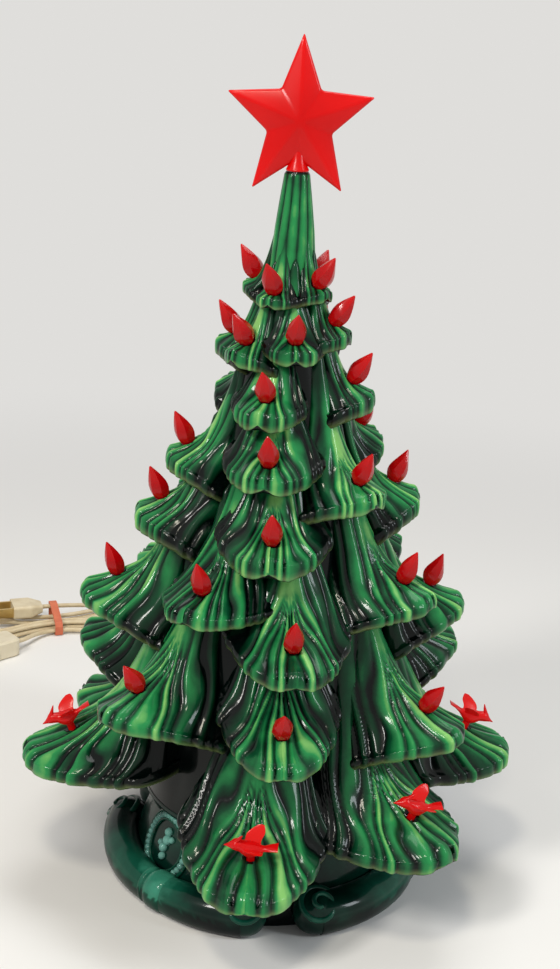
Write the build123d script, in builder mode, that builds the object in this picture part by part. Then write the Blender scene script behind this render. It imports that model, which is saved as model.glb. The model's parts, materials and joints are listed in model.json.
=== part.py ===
"""Lighted ceramic Christmas tree on a scroll base, with its plastic pegs, star, lamp and cord set (mm)."""

import os
from math import atan2, cos, degrees, dist, pi, radians, sin, tan

from build123d import *

os.makedirs("parts", exist_ok=True)

# Fits that every piece shares
clearance = 0.3
overrun = 1.0

# Tree casting: a fluted hollow cone of branches, standing on a foot ring
skirt_radius = 119.0
tree_height = 299.0
foot_radius = 60.0
crown_radius = 5.5
tree_wall = 4.0
trunk_sides = 28

# Scroll base that carries the tree and the lamp
seat_height = 44.0
base_radius = 80.0
base_wall = 5.0
rim_roll_radius = 8.5
lip_height = 6.0
lip_wall = 3.5
first_notch_angle = 5.0
lobe_count = 4
rim_roll_height = 9.5
roll_margin = 12.0
band_arc = 6.0
band_proud = 0.9
volute_angle = 9.5
volute_reach = 70.5
volute_radius = 9.5
volute_height = 12.0
volute_top = 16.0
volute_top_share = 0.62
roll_sides = 12
roll_steps = 11
frame_half_width = 10.5
frame_half_height = 12.0
frame_band = 2.6
frame_proud = 1.6
seat_margin = 0.5
seat_lip = 3.0
channel_share = 0.75
channel_height_share = 0.2
waist_share = 0.94
waist_height_share = 0.8
cord_notch_width = 7.0
cord_notch_height = 9.0

# Plastic pegs: pointed bulbs and birds
peg_radius = 1.8
peg_length = 8.0
seat_depth = 1.0
hole_sides = 8
bulb_radius = 4.8
bulb_height = 16.5
bulb_foot_radius = 3.0
peg_sides = 6
bird_length = 24.0
bird_body_radius = 4.2
bird_fin = 1.2
bird_stand = 2.0
wing_lift = 42.0
peg_taper_share = 0.85
bulb_level_shares = (0.0, 0.3, 0.62, 1.0)
bulb_radius_shares = (0.625, 1.0, 0.68, 0.1)
bird_station_shares = (-0.5, -0.2, 0.0, 0.18, 0.3, 0.4, 0.5)
bird_girth_shares = (0.22, 0.5, 1.0, 0.66, 0.74, 0.38, 0.08)
bird_lift_shares = (0.55, 0.15, 0.0, 0.4, 0.62, 0.58, 0.5)
crest_shares = ((0.38, 1.0), (0.2, 0.9), (0.22, 2.1), (0.27, 2.2))
wing_shares = ((0.12, 0.3), (-0.16, 0.3), (-0.36, 2.2), (-0.1, 2.0))

# Star
star_radius = 34.0
star_stretch = 1.09
star_waist_radius = 15.0
star_thickness = 13.0
star_edge = 3.0
star_points = 5
star_peg_radius = 2.5
star_peg_length = 16.0
star_stalk = 5.2
star_collar_taper = 20.0

# Lamp and its socket
socket_radius = 12.2
socket_flange_radius = 16.0
socket_flange = 2.5
socket_depth = 26.5
socket_floor = 7.0
socket_chamfer = 2.0
sleeve_wall = 0.6
cap_radius = 5.8
cap_height = 19.8
cap_contact = 2.0
cap_contact_share = 0.5
lamp_radius = 11.0
lamp_height = 39.0
lamp_shares = ((0.72, 0.08), (0.95, 0.22), (1.0, 0.36), (0.92, 0.52), (0.72, 0.7), (0.4, 0.88), (0.08, 1.0))
lamp_sides = 20

# Cord set
cord_diameter = 3.0
cord_sides = 6
hank_pitch = 3.6
hank_waist_pitch = 3.8
hank_half_run = 52.0
hank_inner_radius = 10.0
hank_loops_a_layer = 2
hank_angle = 20.0
hank_place = (-148.0, 265.0)
bend_share = 0.45
floor_gap = 0.1
lead_offset = 9.7
switch_near = (-33.0, -29.0)
switch_angle = 23.0
switch_run = 8.0
tie_width = 5.0
tie_wall = 1.0
plug_length = 20.0
plug_width = 18.0
plug_thickness = 9.0
plug_gap = 5.5
plug_corner = 2.0
plug_neck_share = 0.6
plug_shoulder_share = 0.4
blade_length = 16.0
blade_width = 6.35
blade_thickness = 1.5
blade_spacing = 12.7
switch_length = 46.0
switch_width = 18.0
switch_height = 12.0
wheel_radius = 7.5
wheel_thickness = 3.6
wheel_pin_radius = 1.5
wheel_proud = 2.5
wheel_pin_length = 1.6
wheel_grips = 12
wheel_grip_radius = 0.6
switch_corner = 4.0
switch_chamfer = 1.2

# Branch tiers from the top down: half width, edge, peg lean, flutes, then each branch's angle, reach and tip
tier_shares = (
    (0.084, 0.45, 34.0, 3, ((-112, 0.193, 0.833), (-27, 0.185, 0.823), (50, 0.176, 0.833),
                            (140, 0.185, 0.826))),
    (0.118, 0.45, 34.0, 3, ((-105, 0.286, 0.743), (-50, 0.273, 0.743), (7, 0.260, 0.753), (70, 0.244, 0.773),
                            (150, 0.269, 0.749))),
    (0.145, 0.45, 32.0, 3, ((-16, 0.353, 0.666), (82, 0.345, 0.679), (165, 0.353, 0.666),
                            (-138, 0.353, 0.666))),
    (0.200, 0.30, 26.0, 3, ((122, 0.437, 0.592), (-88, 0.454, 0.569), (-8, 0.445, 0.582), (48, 0.479, 0.549),
                            (-155, 0.462, 0.569))),
    (0.227, 0.30, 24.0, 3, ((105, 0.571, 0.505), (-85, 0.571, 0.478), (-3, 0.563, 0.472), (170, 0.571, 0.478),
                            (-140, 0.571, 0.478))),
    (0.240, 0.20, 22.0, 3, ((-30, 0.664, 0.388), (63, 0.672, 0.388), (134, 0.647, 0.401),
                            (-128, 0.706, 0.341))),
    (0.255, 0.20, 22.0, 4, ((-89, 0.782, 0.338), (7, 0.739, 0.324), (100, 0.782, 0.328),
                            (178, 0.765, 0.331))),
    (0.250, 0.20, 34.0, 4, ((-47, 0.840, 0.221), (4, 0.849, 0.201), (58, 0.866, 0.194), (118, 0.874, 0.222),
                            (-178, 0.857, 0.204), (-115, 0.900, 0.204))),
    (0.315, 0.18, 22.0, 4, ((-75, 1.008, 0.094), (-3, 1.008, 0.023), (44, 0.992, 0.050), (91, 1.002, 0.087),
                            (140, 1.000, 0.060), (-170, 1.008, 0.060), (-125, 1.000, 0.060))),
)
bird_tier = 8
first_hollow_tier = 2
raised_bird = (7, 5)
bird_turns = (-90.0, -90.0, 180.0, 150.0, -90.0, -90.0, 180.0, -90.0)

# A branch along its ridge: station, half width, flute depth
station_shares = (-0.2, 0.0, 0.35, 0.7, 0.9, 1.0)
width_shares = (0.5, 0.6, 0.95, 1.0, 0.74, 0.36)
flute_shares = (0.0, 0.02, 0.055, 0.06, 0.04, 0.0)
hollow_station_shares = (-0.1, 0.35, 0.66, 0.84)
hollow_width_shares = (0.3, 0.48, 0.5, 0.36)
root_share = 0.35
rise_share = 0.62
shoulder_rise = 10.0
shoulder_share = 0.4
shoulder_end_share = 0.56
shoulder_power = 1.8
flank_share = 1.7
skirt_flank_share = 0.9
lip_share = 0.12
underside_share = 0.88
ridge_power = 1.6
flank_power = 1.7
bulb_station_share = 0.72
upper_bulb_station_share = 0.6
hollow_side_share = 0.5

# Trunk core under the branches: radius and height
core_shares = (
    (1.0, 0.0),
    (1.0, 0.06),
    (0.9, 0.214),
    (0.767, 0.331),
    (0.6, 0.475),
    (0.483, 0.569),
    (0.367, 0.666),
    (0.275, 0.749),
    (0.183, 0.826),
    (0.147, 0.913),
)
cavity_top_share = 0.826


def radial_plane(angle, radius, height):
    """Upright plane across a branch: x runs round the tree, y is up and the normal points outwards."""
    turn = radians(angle)
    origin = (radius * sin(turn), -radius * cos(turn), height)
    return Plane(origin=origin, x_dir=(cos(turn), sin(turn), 0), z_dir=(sin(turn), -cos(turn), 0))


def profile_plane(angle):
    """Plane through the axis: x points outwards at the angle and y is up."""
    turn = radians(angle)
    return Plane(origin=(0, 0, 0), x_dir=(sin(turn), -cos(turn), 0), z_dir=(-cos(turn), -sin(turn), 0))


def ridge_rise(reach, along):
    """Height of a branch's ridge over its tip."""
    return rise_share * (1 - root_share) * reach * (1 - along) ** ridge_power


def ridge_radius(reach, along):
    """Distance of a branch's ridge from the trunk's axis."""
    return reach * (root_share + along * (1 - root_share))


def root_shoulder(reach, along):
    """How far a branch's root climbs the trunk over its ridge line."""
    rest = min(max(shoulder_end_share - along, 0) / shoulder_end_share, 1)
    return (shoulder_rise + shoulder_share * reach) * rest**shoulder_power


def polygon_face(plane, points):
    """Flat face inside a closed run of points on a plane."""
    with BuildSketch(plane) as outline:
        with BuildLine():
            Polyline(*points, close=True)
        make_face()
    return outline.sketch.face()


def plain_solid(rings):
    """Solid with flat faces between rings of points, each ring on a plane of its own."""
    faces = [Face(Wire.make_polygon(rings[0])), Face(Wire.make_polygon(rings[-1]))]
    for ring, following in zip(rings, rings[1:]):
        for corner in range(len(ring)):
            beside = (corner + 1) % len(ring)
            faces.append(Face(Wire.make_polygon((ring[corner], ring[beside], following[beside]))))
            faces.append(Face(Wire.make_polygon((ring[corner], following[beside], following[corner]))))
    return Solid(Shell(faces))


def ring_points(plane, radius, sides):
    """Corners of a regular polygon on a plane, centred on its origin."""
    turns = [2 * pi * corner / sides for corner in range(sides)]
    return [plane.from_local_coords((radius * cos(turn), radius * sin(turn), 0)) for turn in turns]


def round_solid(points, sides, plane=Plane.XY):
    """Solid of rings about a plane's normal, one for each radius and height."""
    return plain_solid([ring_points(plane.offset(height), radius, sides) for radius, height in points])


def branch_solid(angle, reach, tip, half_width, edge, flutes, flank):
    """One drooping branch: a fluted arch over a flat underside, its flanks hanging deeper at the root."""
    rings = []
    for along, wide, flute in zip(station_shares, width_shares, flute_shares):
        shoulder = root_shoulder(reach, along)
        rise = ridge_rise(reach, along) + shoulder
        drop = flank * ridge_rise(reach, along) + shoulder + lip_share * half_width
        steps = 2 * flutes
        points = []
        for step in range(steps + 1):
            across = 2 * step / steps - 1
            crest = flute * half_width * (step % 2)
            points.append((across * wide * half_width, crest - drop * abs(across) ** flank_power))
        points.append((wide * half_width, -drop - edge))
        points.append((0, -underside_share * (drop + edge)))
        points.append((-wide * half_width, -drop - edge))
        station_plane = radial_plane(angle, ridge_radius(reach, along), tip + rise)
        rings.append([station_plane.from_local_coords((x, y, 0)) for x, y in points])
    return plain_solid(rings)


def branch_hollow(angle, reach, tip, half_width, edge, flank):
    """The hollow inside one branch, open to the trunk's hollow."""
    rings = []
    for along, wide in zip(hollow_station_shares, hollow_width_shares):
        rise = ridge_rise(reach, along)
        drop = flank * rise + lip_share * half_width
        side = wide * half_width
        shoulder = -tree_wall - drop * hollow_side_share**flank_power
        floor = min(tree_wall - underside_share * (drop + edge), shoulder - clearance)
        points = ((-side, shoulder), (0, -tree_wall), (side, shoulder), (side, floor), (-side, floor))
        station_plane = radial_plane(angle, ridge_radius(reach, along), tip + rise)
        rings.append([station_plane.from_local_coords((x, y, 0)) for x, y in points])
    return plain_solid(rings)


def peg_plane(angle, reach, tip, along, lean):
    """Plane of a peg's seat: its normal is the peg's axis, leaning outwards, with x round the tree."""
    turn, tilt = radians(angle), radians(lean)
    axis = (sin(turn) * sin(tilt), -cos(turn) * sin(tilt), cos(tilt))
    radius = ridge_radius(reach, along)
    height = tip + ridge_rise(reach, along)
    origin = Vector(radius * sin(turn), -radius * cos(turn), height) - Vector(*axis) * seat_depth
    return Plane(origin=origin, x_dir=(cos(turn), sin(turn), 0), z_dir=axis)


def peg_hole(seat, depth):
    """A peg's hole under its seat and the flat-bottomed dish over it."""
    grow = 1 / cos(pi / hole_sides)
    dish_top = bulb_level_shares[1] * bulb_height + clearance
    hole_radius = grow * (peg_radius + clearance)
    hole = round_solid(((hole_radius, -depth), (hole_radius, overrun)), hole_sides, seat)
    dish_rows = ((grow * (bulb_foot_radius + clearance), 0), (grow * (bulb_radius + clearance), dish_top))
    return [hole, round_solid(dish_rows, hole_sides, seat)]


# Branches, their hollows and their pegs' seats
tier_parts = []
hollow_parts = []
peg_holes = []
seats = []
for tier_index, (width_row, edge_row, lean, flutes, branch_rows) in enumerate(tier_shares):
    half_width = width_row * skirt_radius
    edge = edge_row * half_width
    flank = skirt_flank_share if tier_index == len(tier_shares) - 1 else flank_share
    station = bulb_station_share if tier_index > first_hollow_tier else upper_bulb_station_share
    tier_branches = []
    for branch_index, (angle, reach_row, tip_row) in enumerate(branch_rows):
        reach = reach_row * skirt_radius
        tip = seat_height + tip_row * tree_height
        tier_branches.append(branch_solid(angle, reach, tip, half_width, edge, flutes, flank))
        if tier_index >= first_hollow_tier:
            hollow_parts.append(branch_hollow(angle, reach, tip, half_width, edge, flank))
        seat = peg_plane(angle, reach, tip, station, lean)
        seats.append((tier_index, branch_index, seat))
        peg_holes.extend(peg_hole(seat, peg_length + 2 * clearance))
    with BuildPart() as tier:
        for branch in tier_branches:
            add(branch, clean=False)
    tier_parts.append(tier.part)

core_points = [(r * foot_radius, seat_height + h * tree_height) for r, h in core_shares]
crown_height = seat_height + tree_height
cavity_top = seat_height + cavity_top_share * tree_height
with BuildPart() as star_hole:
    with BuildSketch(Plane.XY.offset(cavity_top - overrun)):
        Circle(star_peg_radius + clearance)
    extrude(amount=crown_height - cavity_top + 2 * overrun)
peg_holes.append(star_hole.part)
cavity_points = [(r - tree_wall, max(h, seat_height - overrun)) for r, h in core_points if h <= cavity_top]

clear_radius = (foot_radius + seat_margin + clearance) / cos(pi / trunk_sides)
clear_rows = ((clear_radius, seat_height - seat_lip), (clear_radius, seat_height))
with BuildPart() as tree_cavity:
    add(round_solid([(r / cos(pi / trunk_sides), h) for r, h in cavity_points], trunk_sides), clean=False)
    add(round_solid(clear_rows, trunk_sides), clean=False)
    for hollow in hollow_parts:
        add(hollow, clean=False)

with BuildPart() as tree_shell:
    add(round_solid([*core_points, (crown_radius, crown_height)], trunk_sides), clean=False)
    for tier_part in tier_parts:
        add(tier_part, clean=False)
    add([tree_cavity.part, *peg_holes], mode=Mode.SUBTRACT, clean=False)
tree_shell.part.label = "tree_shell"
export_step(tree_shell.part, "parts/tree_shell.step")


def peg_solid(seat, top):
    """A peg, from its tapered foot in the hole to its top over the seat."""
    return round_solid(((peg_taper_share * peg_radius, -peg_length), (peg_radius, top)), peg_sides, seat)


# Pointed bulbs and birds, one in each branch, each standing a clearance over its spot face
bulb_levels = zip(bulb_level_shares, bulb_radius_shares)
bulb_rows = [(share * bulb_radius, level * bulb_height + clearance) for level, share in bulb_levels]
bird_count = 0
for tier_index, branch_index, seat in seats:
    bird_here = tier_index == bird_tier or (tier_index, branch_index) == raised_bird
    if bird_here:
        bird_count += 1
        peg_name = f"bird_{bird_count}"
        heading = seat.x_dir.rotate(Axis((0, 0, 0), seat.z_dir), bird_turns[bird_count - 1])
        side = seat.z_dir.cross(heading)
        middle = seat.origin + seat.z_dir * (bird_stand + bird_body_radius)
        body_rings = []
        for along, girth, lift in zip(bird_station_shares, bird_girth_shares, bird_lift_shares):
            place = middle + heading * (along * bird_length) + seat.z_dir * (lift * bird_body_radius)
            station_plane = Plane(origin=place, x_dir=side, z_dir=heading)
            body_rings.append(ring_points(station_plane, girth * bird_body_radius, peg_sides))
        crest_plane = Plane(origin=middle, x_dir=heading, z_dir=-side)
        crest_points = [(x * bird_length, y * bird_body_radius) for x, y in crest_shares]
        wing_points = [(x * bird_length, y * bird_body_radius) for x, y in wing_shares]
        wing_planes = []
        for hand in (1, -1):
            spread = side * (hand * cos(radians(wing_lift))) + seat.z_dir * sin(radians(wing_lift))
            wing_planes.append(Plane(origin=middle, x_dir=heading, z_dir=heading.cross(spread)))
        with BuildPart() as peg_piece:
            add(plain_solid(body_rings))
            add(peg_solid(seat, bird_stand + bird_body_radius))
            fins = ((crest_plane, crest_points), *((p, wing_points) for p in wing_planes))
            for fin_plane, fin_points in fins:
                with BuildSketch(fin_plane):
                    with BuildLine():
                        Polyline(*fin_points, close=True)
                    make_face()
                extrude(amount=bird_fin / 2, both=True)
    else:
        peg_name = f"bulb_{tier_index + 1}_{branch_index + 1}"
        with BuildPart() as peg_piece:
            add(peg_solid(seat, clearance))
            add(round_solid(bulb_rows, peg_sides, seat))
    peg_piece.part.label = peg_name
    export_step(peg_piece.part, f"parts/{peg_name}.step")

# Star on its peg in the crown
star_middle = crown_height + clearance + star_stalk + star_stretch * star_waist_radius
star_corners = []
for corner in range(2 * star_points):
    turn = radians(90 + corner * 180 / star_points)
    spoke = star_waist_radius if corner % 2 else star_radius
    star_corners.append((spoke * cos(turn), star_stretch * spoke * sin(turn)))
star_front = Plane(origin=(0, -star_edge / 2, star_middle), x_dir=(1, 0, 0), z_dir=(0, -1, 0))
star_back = Plane(origin=(0, star_edge / 2, star_middle), x_dir=(-1, 0, 0), z_dir=(0, 1, 0))
front_face = polygon_face(star_front, star_corners)
back_face = polygon_face(star_back, star_corners)
with BuildPart() as star:
    extrude(front_face, amount=-star_edge)
    loft([front_face, Vertex(0, -star_thickness / 2, star_middle)], ruled=True)
    loft([back_face, Vertex(0, star_thickness / 2, star_middle)], ruled=True)
    with BuildSketch(Plane.XY.offset(crown_height - star_peg_length)):
        Circle(star_peg_radius)
    extrude(amount=star_peg_length + clearance + star_stalk + star_edge)
    with BuildSketch(Plane.XY.offset(crown_height + clearance)):
        Circle(crown_radius - clearance)
    extrude(amount=star_stalk + star_edge, taper=star_collar_taper)
star.part.label = "star"
export_step(star.part, "parts/star.step")

# Scroll base: a hollow foot with a rolled rim in four lobes, volutes at the notches and oval frames
rim_radius = base_radius - rim_roll_radius
channel_radius = rim_radius - channel_share * rim_roll_radius
waist_radius = waist_share * foot_radius
channel_height = channel_height_share * seat_height
waist_height = waist_height_share * seat_height
seat_radius = foot_radius + seat_margin
seat_edge_height = seat_height - seat_lip
lip_outside = foot_radius - tree_wall - clearance
lip_inside = lip_outside - lip_wall
under_height = seat_height - base_wall
frame_middle = ((channel_radius + waist_radius) / 2, (channel_height + waist_height) / 2)
frame_lean = degrees(atan2(channel_radius - waist_radius, waist_height - channel_height))
lobe_step = 360 / lobe_count
volute_top_radius = volute_top_share * volute_radius
volute_rows = ((volute_radius, 0), (volute_radius, volute_height), (volute_top_radius, volute_top))


def rim_roll(start, arc, steps, radius):
    """A stretch of the rolled rim, from a start angle through an arc."""
    rings = []
    for step in range(steps + 1):
        across = profile_plane(start + arc * step / steps)
        middle = across.from_local_coords((rim_radius, rim_roll_height, 0))
        ring_plane = Plane(origin=middle, x_dir=across.x_dir, z_dir=across.z_dir)
        rings.append(ring_points(ring_plane, radius, roll_sides))
    return plain_solid(rings)


with BuildPart() as base:
    with BuildSketch(Plane.XZ):
        with BuildLine():
            Polyline(
                (0, seat_height),
                (lip_inside, seat_height),
                (lip_inside, seat_height + lip_height),
                (lip_outside, seat_height + lip_height),
                (lip_outside, seat_height),
                (seat_radius, seat_height),
                (seat_radius, seat_edge_height),
                (waist_radius, waist_height),
                (channel_radius, channel_height),
                (rim_radius, rim_roll_height),
                (rim_radius, 0),
                (channel_radius - base_wall, 0),
                (channel_radius - base_wall, channel_height),
                (waist_radius - base_wall, waist_height),
                (waist_radius - base_wall, under_height),
                (0, under_height),
                close=True,
            )
        make_face()
    revolve(axis=Axis.Z)
    for lobe in range(lobe_count):
        notch = first_notch_angle + lobe * lobe_step
        add(rim_roll(notch + roll_margin, lobe_step - 2 * roll_margin, roll_steps, rim_roll_radius))
        add(rim_roll(notch + (lobe_step - band_arc) / 2, band_arc, 1, rim_roll_radius + band_proud))
        for hand in (1, -1):
            turn = radians(notch + hand * volute_angle)
            curl = Plane(origin=(volute_reach * sin(turn), -volute_reach * cos(turn), 0))
            add(round_solid(volute_rows, roll_sides, curl))
        middle_turn = radians(notch + lobe_step / 2)
        lean_turn = radians(frame_lean)
        frame_plane = Plane(
            origin=(frame_middle[0] * sin(middle_turn), -frame_middle[0] * cos(middle_turn), frame_middle[1]),
            x_dir=(cos(middle_turn), sin(middle_turn), 0),
            z_dir=(sin(middle_turn) * cos(lean_turn), -cos(middle_turn) * cos(lean_turn), sin(lean_turn)),
        )
        with BuildSketch(frame_plane.offset(-base_wall / 2)):
            Ellipse(frame_half_width, frame_half_height)
            Ellipse(frame_half_width - frame_band, frame_half_height - frame_band, mode=Mode.SUBTRACT)
        extrude(amount=base_wall / 2 + frame_proud)
    with BuildSketch(Plane.XY.offset(under_height - overrun)):
        Circle(socket_radius + clearance)
    extrude(amount=base_wall + 2 * overrun, mode=Mode.SUBTRACT)
    cord_turn = radians(first_notch_angle + lobe_step * (lobe_count // 2))
    cord_way = Plane(origin=(0, 0, 0), x_dir=(sin(cord_turn), -cos(cord_turn), 0), z_dir=(0, 0, 1))
    with BuildSketch(cord_way):
        with Locations((rim_radius, 0)):
            Rectangle(4 * rim_roll_radius, cord_notch_width)
    extrude(amount=cord_notch_height, mode=Mode.SUBTRACT)
base.part.label = "base"
export_step(base.part, "parts/base.step")

# Lamp socket hung in the base's plate by its flange, its screw sleeve, and the lamp
flange_top = seat_height + socket_flange
socket_bottom = flange_top - socket_depth
bore_floor = socket_bottom + socket_floor
sleeve_inside = cap_radius + clearance
sleeve_outside = sleeve_inside + sleeve_wall
with BuildPart() as socket_body:
    with BuildSketch(Plane.XZ):
        with BuildLine():
            Polyline(
                (0, socket_bottom),
                (socket_radius - socket_chamfer, socket_bottom),
                (socket_radius, socket_bottom + socket_chamfer),
                (socket_radius, seat_height),
                (socket_flange_radius, seat_height),
                (socket_flange_radius, flange_top),
                (sleeve_outside + clearance, flange_top),
                (sleeve_outside + clearance, bore_floor),
                (0, bore_floor),
                close=True,
            )
        make_face()
    revolve(axis=Axis.Z)
socket_body.part.label = "socket_body"
export_step(socket_body.part, "parts/socket_body.step")

with BuildPart() as socket_sleeve:
    with BuildSketch(Plane.XY.offset(bore_floor)):
        Circle(sleeve_outside)
        Circle(sleeve_inside, mode=Mode.SUBTRACT)
    extrude(amount=flange_top - bore_floor - clearance)
socket_sleeve.part.label = "socket_sleeve"
export_step(socket_sleeve.part, "parts/socket_sleeve.step")

cap_bottom = bore_floor + clearance
cap_top = cap_bottom + cap_height
with BuildPart() as lamp_cap:
    with BuildSketch(Plane.XY.offset(cap_bottom)):
        Circle(cap_contact_share * cap_radius)
    extrude(amount=cap_contact)
    with BuildSketch(Plane.XY.offset(cap_bottom + cap_contact)):
        Circle(cap_radius)
    extrude(amount=cap_height - cap_contact)
lamp_cap.part.label = "lamp_cap"
export_step(lamp_cap.part, "parts/lamp_cap.step")

lamp_rows = [(r * lamp_radius, cap_top + h * lamp_height) for r, h in lamp_shares]
with BuildPart() as lamp_glass:
    add(round_solid(((cap_radius, cap_top), *lamp_rows), lamp_sides))
lamp_glass.part.label = "lamp_glass"
export_step(lamp_glass.part, "parts/lamp_glass.step")


def hank_point(along, across, height):
    """A point given along and across the hank, in the part's frame."""
    turn = radians(hank_angle)
    x = hank_place[0] + along * cos(turn) - across * sin(turn)
    y = hank_place[1] + along * sin(turn) + across * cos(turn)
    return (x, y, height)


def corner_radii(points):
    """The largest bend that each corner of a cord's route has room for."""
    radii = []
    for before, corner, after in zip(points, points[1:], points[2:]):
        run_in = Vector(*corner) - Vector(*before)
        run_out = Vector(*after) - Vector(*corner)
        half_turn = radians(run_in.get_angle(run_out)) / 2
        radii.append(bend_share * min(run_in.length, run_out.length) / tan(half_turn))
    return radii


def cord_tube(name, points):
    """A stretch of cord along straight runs joined by tangent arcs."""
    radii = corner_radii(points)
    with BuildPart() as tube:
        with BuildLine() as route:
            FilletPolyline(*points, radius=radii)
        heading = Vector(*points[1]) - Vector(*points[0])
        with BuildSketch(Plane(origin=points[0], z_dir=heading)) as section:
            RegularPolygon(cord_diameter / 2, cord_sides)
        sweep(path=route.wires()[0])
    length = route.wires()[0].length
    share = tube.part.volume / (section.sketch.area * length)
    bends = [round(radius, 1) for radius in radii]
    print(name, "length", round(length, 1), "volume share", round(share, 3), "radii", bends)
    tube.part.label = name
    export_step(tube.part, f"parts/{name}.step")


# Cord from the socket, out of the base's back notch, along the floor and through the tie to the switch
floor_line = cord_diameter / 2 + floor_gap
hank_low = cord_diameter / 2 + tie_wall + 2 * clearance
hank_high = hank_low + hank_pitch
switch_middle = switch_height / 2
switch_turn = radians(switch_angle)
switch_step = (cos(switch_turn), sin(switch_turn))
switch_far = tuple(near - switch_length * step for near, step in zip(switch_near, switch_step))
switch_in = (switch_near[0] + switch_run * switch_step[0], switch_near[1] + switch_run * switch_step[1])
switch_out = (switch_far[0] - switch_run * switch_step[0], switch_far[1] - switch_run * switch_step[1])
lead_points = [
    (0.0, 0.0, socket_bottom),
    (0.0, 0.0, 10.5),
    (-0.6, 6.5, 3.6),
    (-1.6, 18.0, floor_line),
    (-4.2, 39.0, floor_line),
    (-5.4, 60.0, floor_line),
    (-6.2, 84.0, floor_line),
    (-8.5, 112.0, floor_line),
    (-9.0, 142.0, floor_line),
    (-12.0, 172.0, floor_line),
    (-19.0, 203.0, floor_line),
    (-32.0, 232.0, floor_line),
    (-52.0, 254.0, floor_line),
    hank_point(70.0, -22.0, floor_line),
    hank_point(48.0, -20.0, floor_line),
    hank_point(24.0, -14.0, 2.2),
    hank_point(7.0, -lead_offset, hank_low),
    hank_point(-7.0, -lead_offset, hank_low),
    hank_point(-17.0, -16.0, 4.4),
    hank_point(*switch_in, switch_middle),
    hank_point(*switch_near, switch_middle),
]
cord_tube("cord_lead", lead_points)

# Cord from the switch round to the hank
hank_start = hank_inner_radius + (2 * hank_loops_a_layer - 1) * hank_pitch / 2
link_points = [
    hank_point(*switch_far, switch_middle),
    hank_point(*switch_out, switch_middle),
    hank_point(-93.0, -49.5, 5.0),
    hank_point(-100.5, -41.0, 3.6),
    hank_point(-100.0, -29.0, 2.6),
    hank_point(-89.0, -19.5, 2.6),
    hank_point(-70.0, -hank_start, hank_low),
    hank_point(-hank_half_run, -hank_start, hank_low),
]
cord_tube("cord_link", link_points)

# Hank: long loops in two layers, spiralling in below and out above, drawn in at the tie
run_count = 4 * hank_loops_a_layer
climb_run = run_count // 2 - 1
end_widths = []
waist_widths = []
for run in range(run_count):
    end_widths.append(hank_inner_radius + abs(run - climb_run) * hank_pitch / 2)
    rank = (climb_run - run) // 2 if run <= climb_run else (run - climb_run) // 2
    waist_widths.append((rank + 0.5) * hank_waist_pitch)
plug_rear = -tie_width / 2 - plug_gap
plug_middle = hank_high + cord_diameter / 2 + clearance + plug_thickness / 2


def run_arcs(start, end, heading):
    """Two arcs that leave and reach a run's ends along the hank."""
    half = tuple((a + b) / 2 for a, b in zip(start, end))
    first = TangentArc(start, half, tangent=heading)
    TangentArc(half, end, tangent=first % 1)


with BuildPart() as cord_hank:
    with BuildLine() as hank_route:
        for run in range(run_count):
            hand = 1 if run % 2 else -1
            turn = radians(hank_angle)
            heading = (-hand * cos(turn), -hand * sin(turn), 0)
            low = hank_low if run <= climb_run else hank_high
            high = hank_high if run >= climb_run else hank_low
            from_end = hand * hank_half_run
            begin = hank_point(from_end, hand * end_widths[run], low)
            waist = hank_point(0, hand * waist_widths[run], low)
            finish = hank_point(-from_end, hand * end_widths[run], high)
            if run == run_count - 1:
                run_arcs(begin, hank_point(plug_rear, hand * waist_widths[run], plug_middle), heading)
                break
            run_arcs(begin, waist, heading)
            run_arcs(waist, finish, heading)
            next_width = end_widths[run + 1]
            turn_reach = (end_widths[run] + next_width) / 2
            turn_middle = hand * (end_widths[run] - next_width) / 2
            far = hank_point(-from_end - hand * turn_reach, turn_middle, high)
            ThreePointArc(finish, far, hank_point(-from_end, -hand * next_width, high))
    hank_wire = hank_route.wires()[0]
    start_turn = radians(hank_angle)
    hank_end = Plane(origin=hank_wire @ 0, z_dir=(cos(start_turn), sin(start_turn), 0))
    with BuildSketch(hank_end) as hank_section:
        RegularPolygon(cord_diameter / 2, cord_sides)
    sweep(path=hank_wire)
cord_hank.part.label = "cord_hank"
export_step(cord_hank.part, "parts/cord_hank.step")
hank_samples = int(2 * hank_wire.length / cord_diameter)
hank_trace = [tuple(hank_wire.position_at(i / hank_samples)) for i in range(hank_samples + 1)]
samples_apart = 8
least = min(
    dist(hank_trace[i], hank_trace[j])
    for i in range(len(hank_trace))
    for j in range(i + samples_apart, len(hank_trace))
)
hank_share = cord_hank.part.volume / (hank_section.sketch.area * hank_wire.length)
print("cord_hank length", round(hank_wire.length, 1), "volume share", round(hank_share, 3))
print("cord_hank least gap to itself", round(least - cord_diameter, 2))

# Rubber tie stretched round the hank's waist, the lead and the plug's strand
low_side = -lead_offset - cord_diameter / 2 - clearance
high_side = waist_widths[-1] + cord_diameter / 2 + 2 * clearance
tie_low = hank_low - cord_diameter / 2 - clearance
tie_top = plug_middle + cord_diameter / 2 + clearance
tie_points = (
    (low_side, tie_low),
    (high_side, tie_low),
    (high_side, tie_top),
    (high_side - cord_diameter - 2 * clearance, tie_top),
    (low_side + cord_diameter / 2, hank_high + cord_diameter / 2 + clearance),
    (low_side, hank_low + cord_diameter),
)
tie_turn = radians(hank_angle)
tie_plane = Plane(
    origin=hank_point(-tie_width / 2, 0, 0),
    x_dir=(-sin(tie_turn), cos(tie_turn), 0),
    z_dir=(cos(tie_turn), sin(tie_turn), 0),
)
with BuildPart() as tie_band:
    with BuildSketch(tie_plane):
        with BuildLine():
            Polyline(*tie_points, close=True)
        make_face()
        offset(amount=tie_wall, kind=Kind.ARC)
        with BuildLine():
            Polyline(*tie_points, close=True)
        make_face(mode=Mode.SUBTRACT)
    extrude(amount=tie_width)
tie_band.part.label = "tie_band"
export_step(tie_band.part, "parts/tie_band.step")

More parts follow.
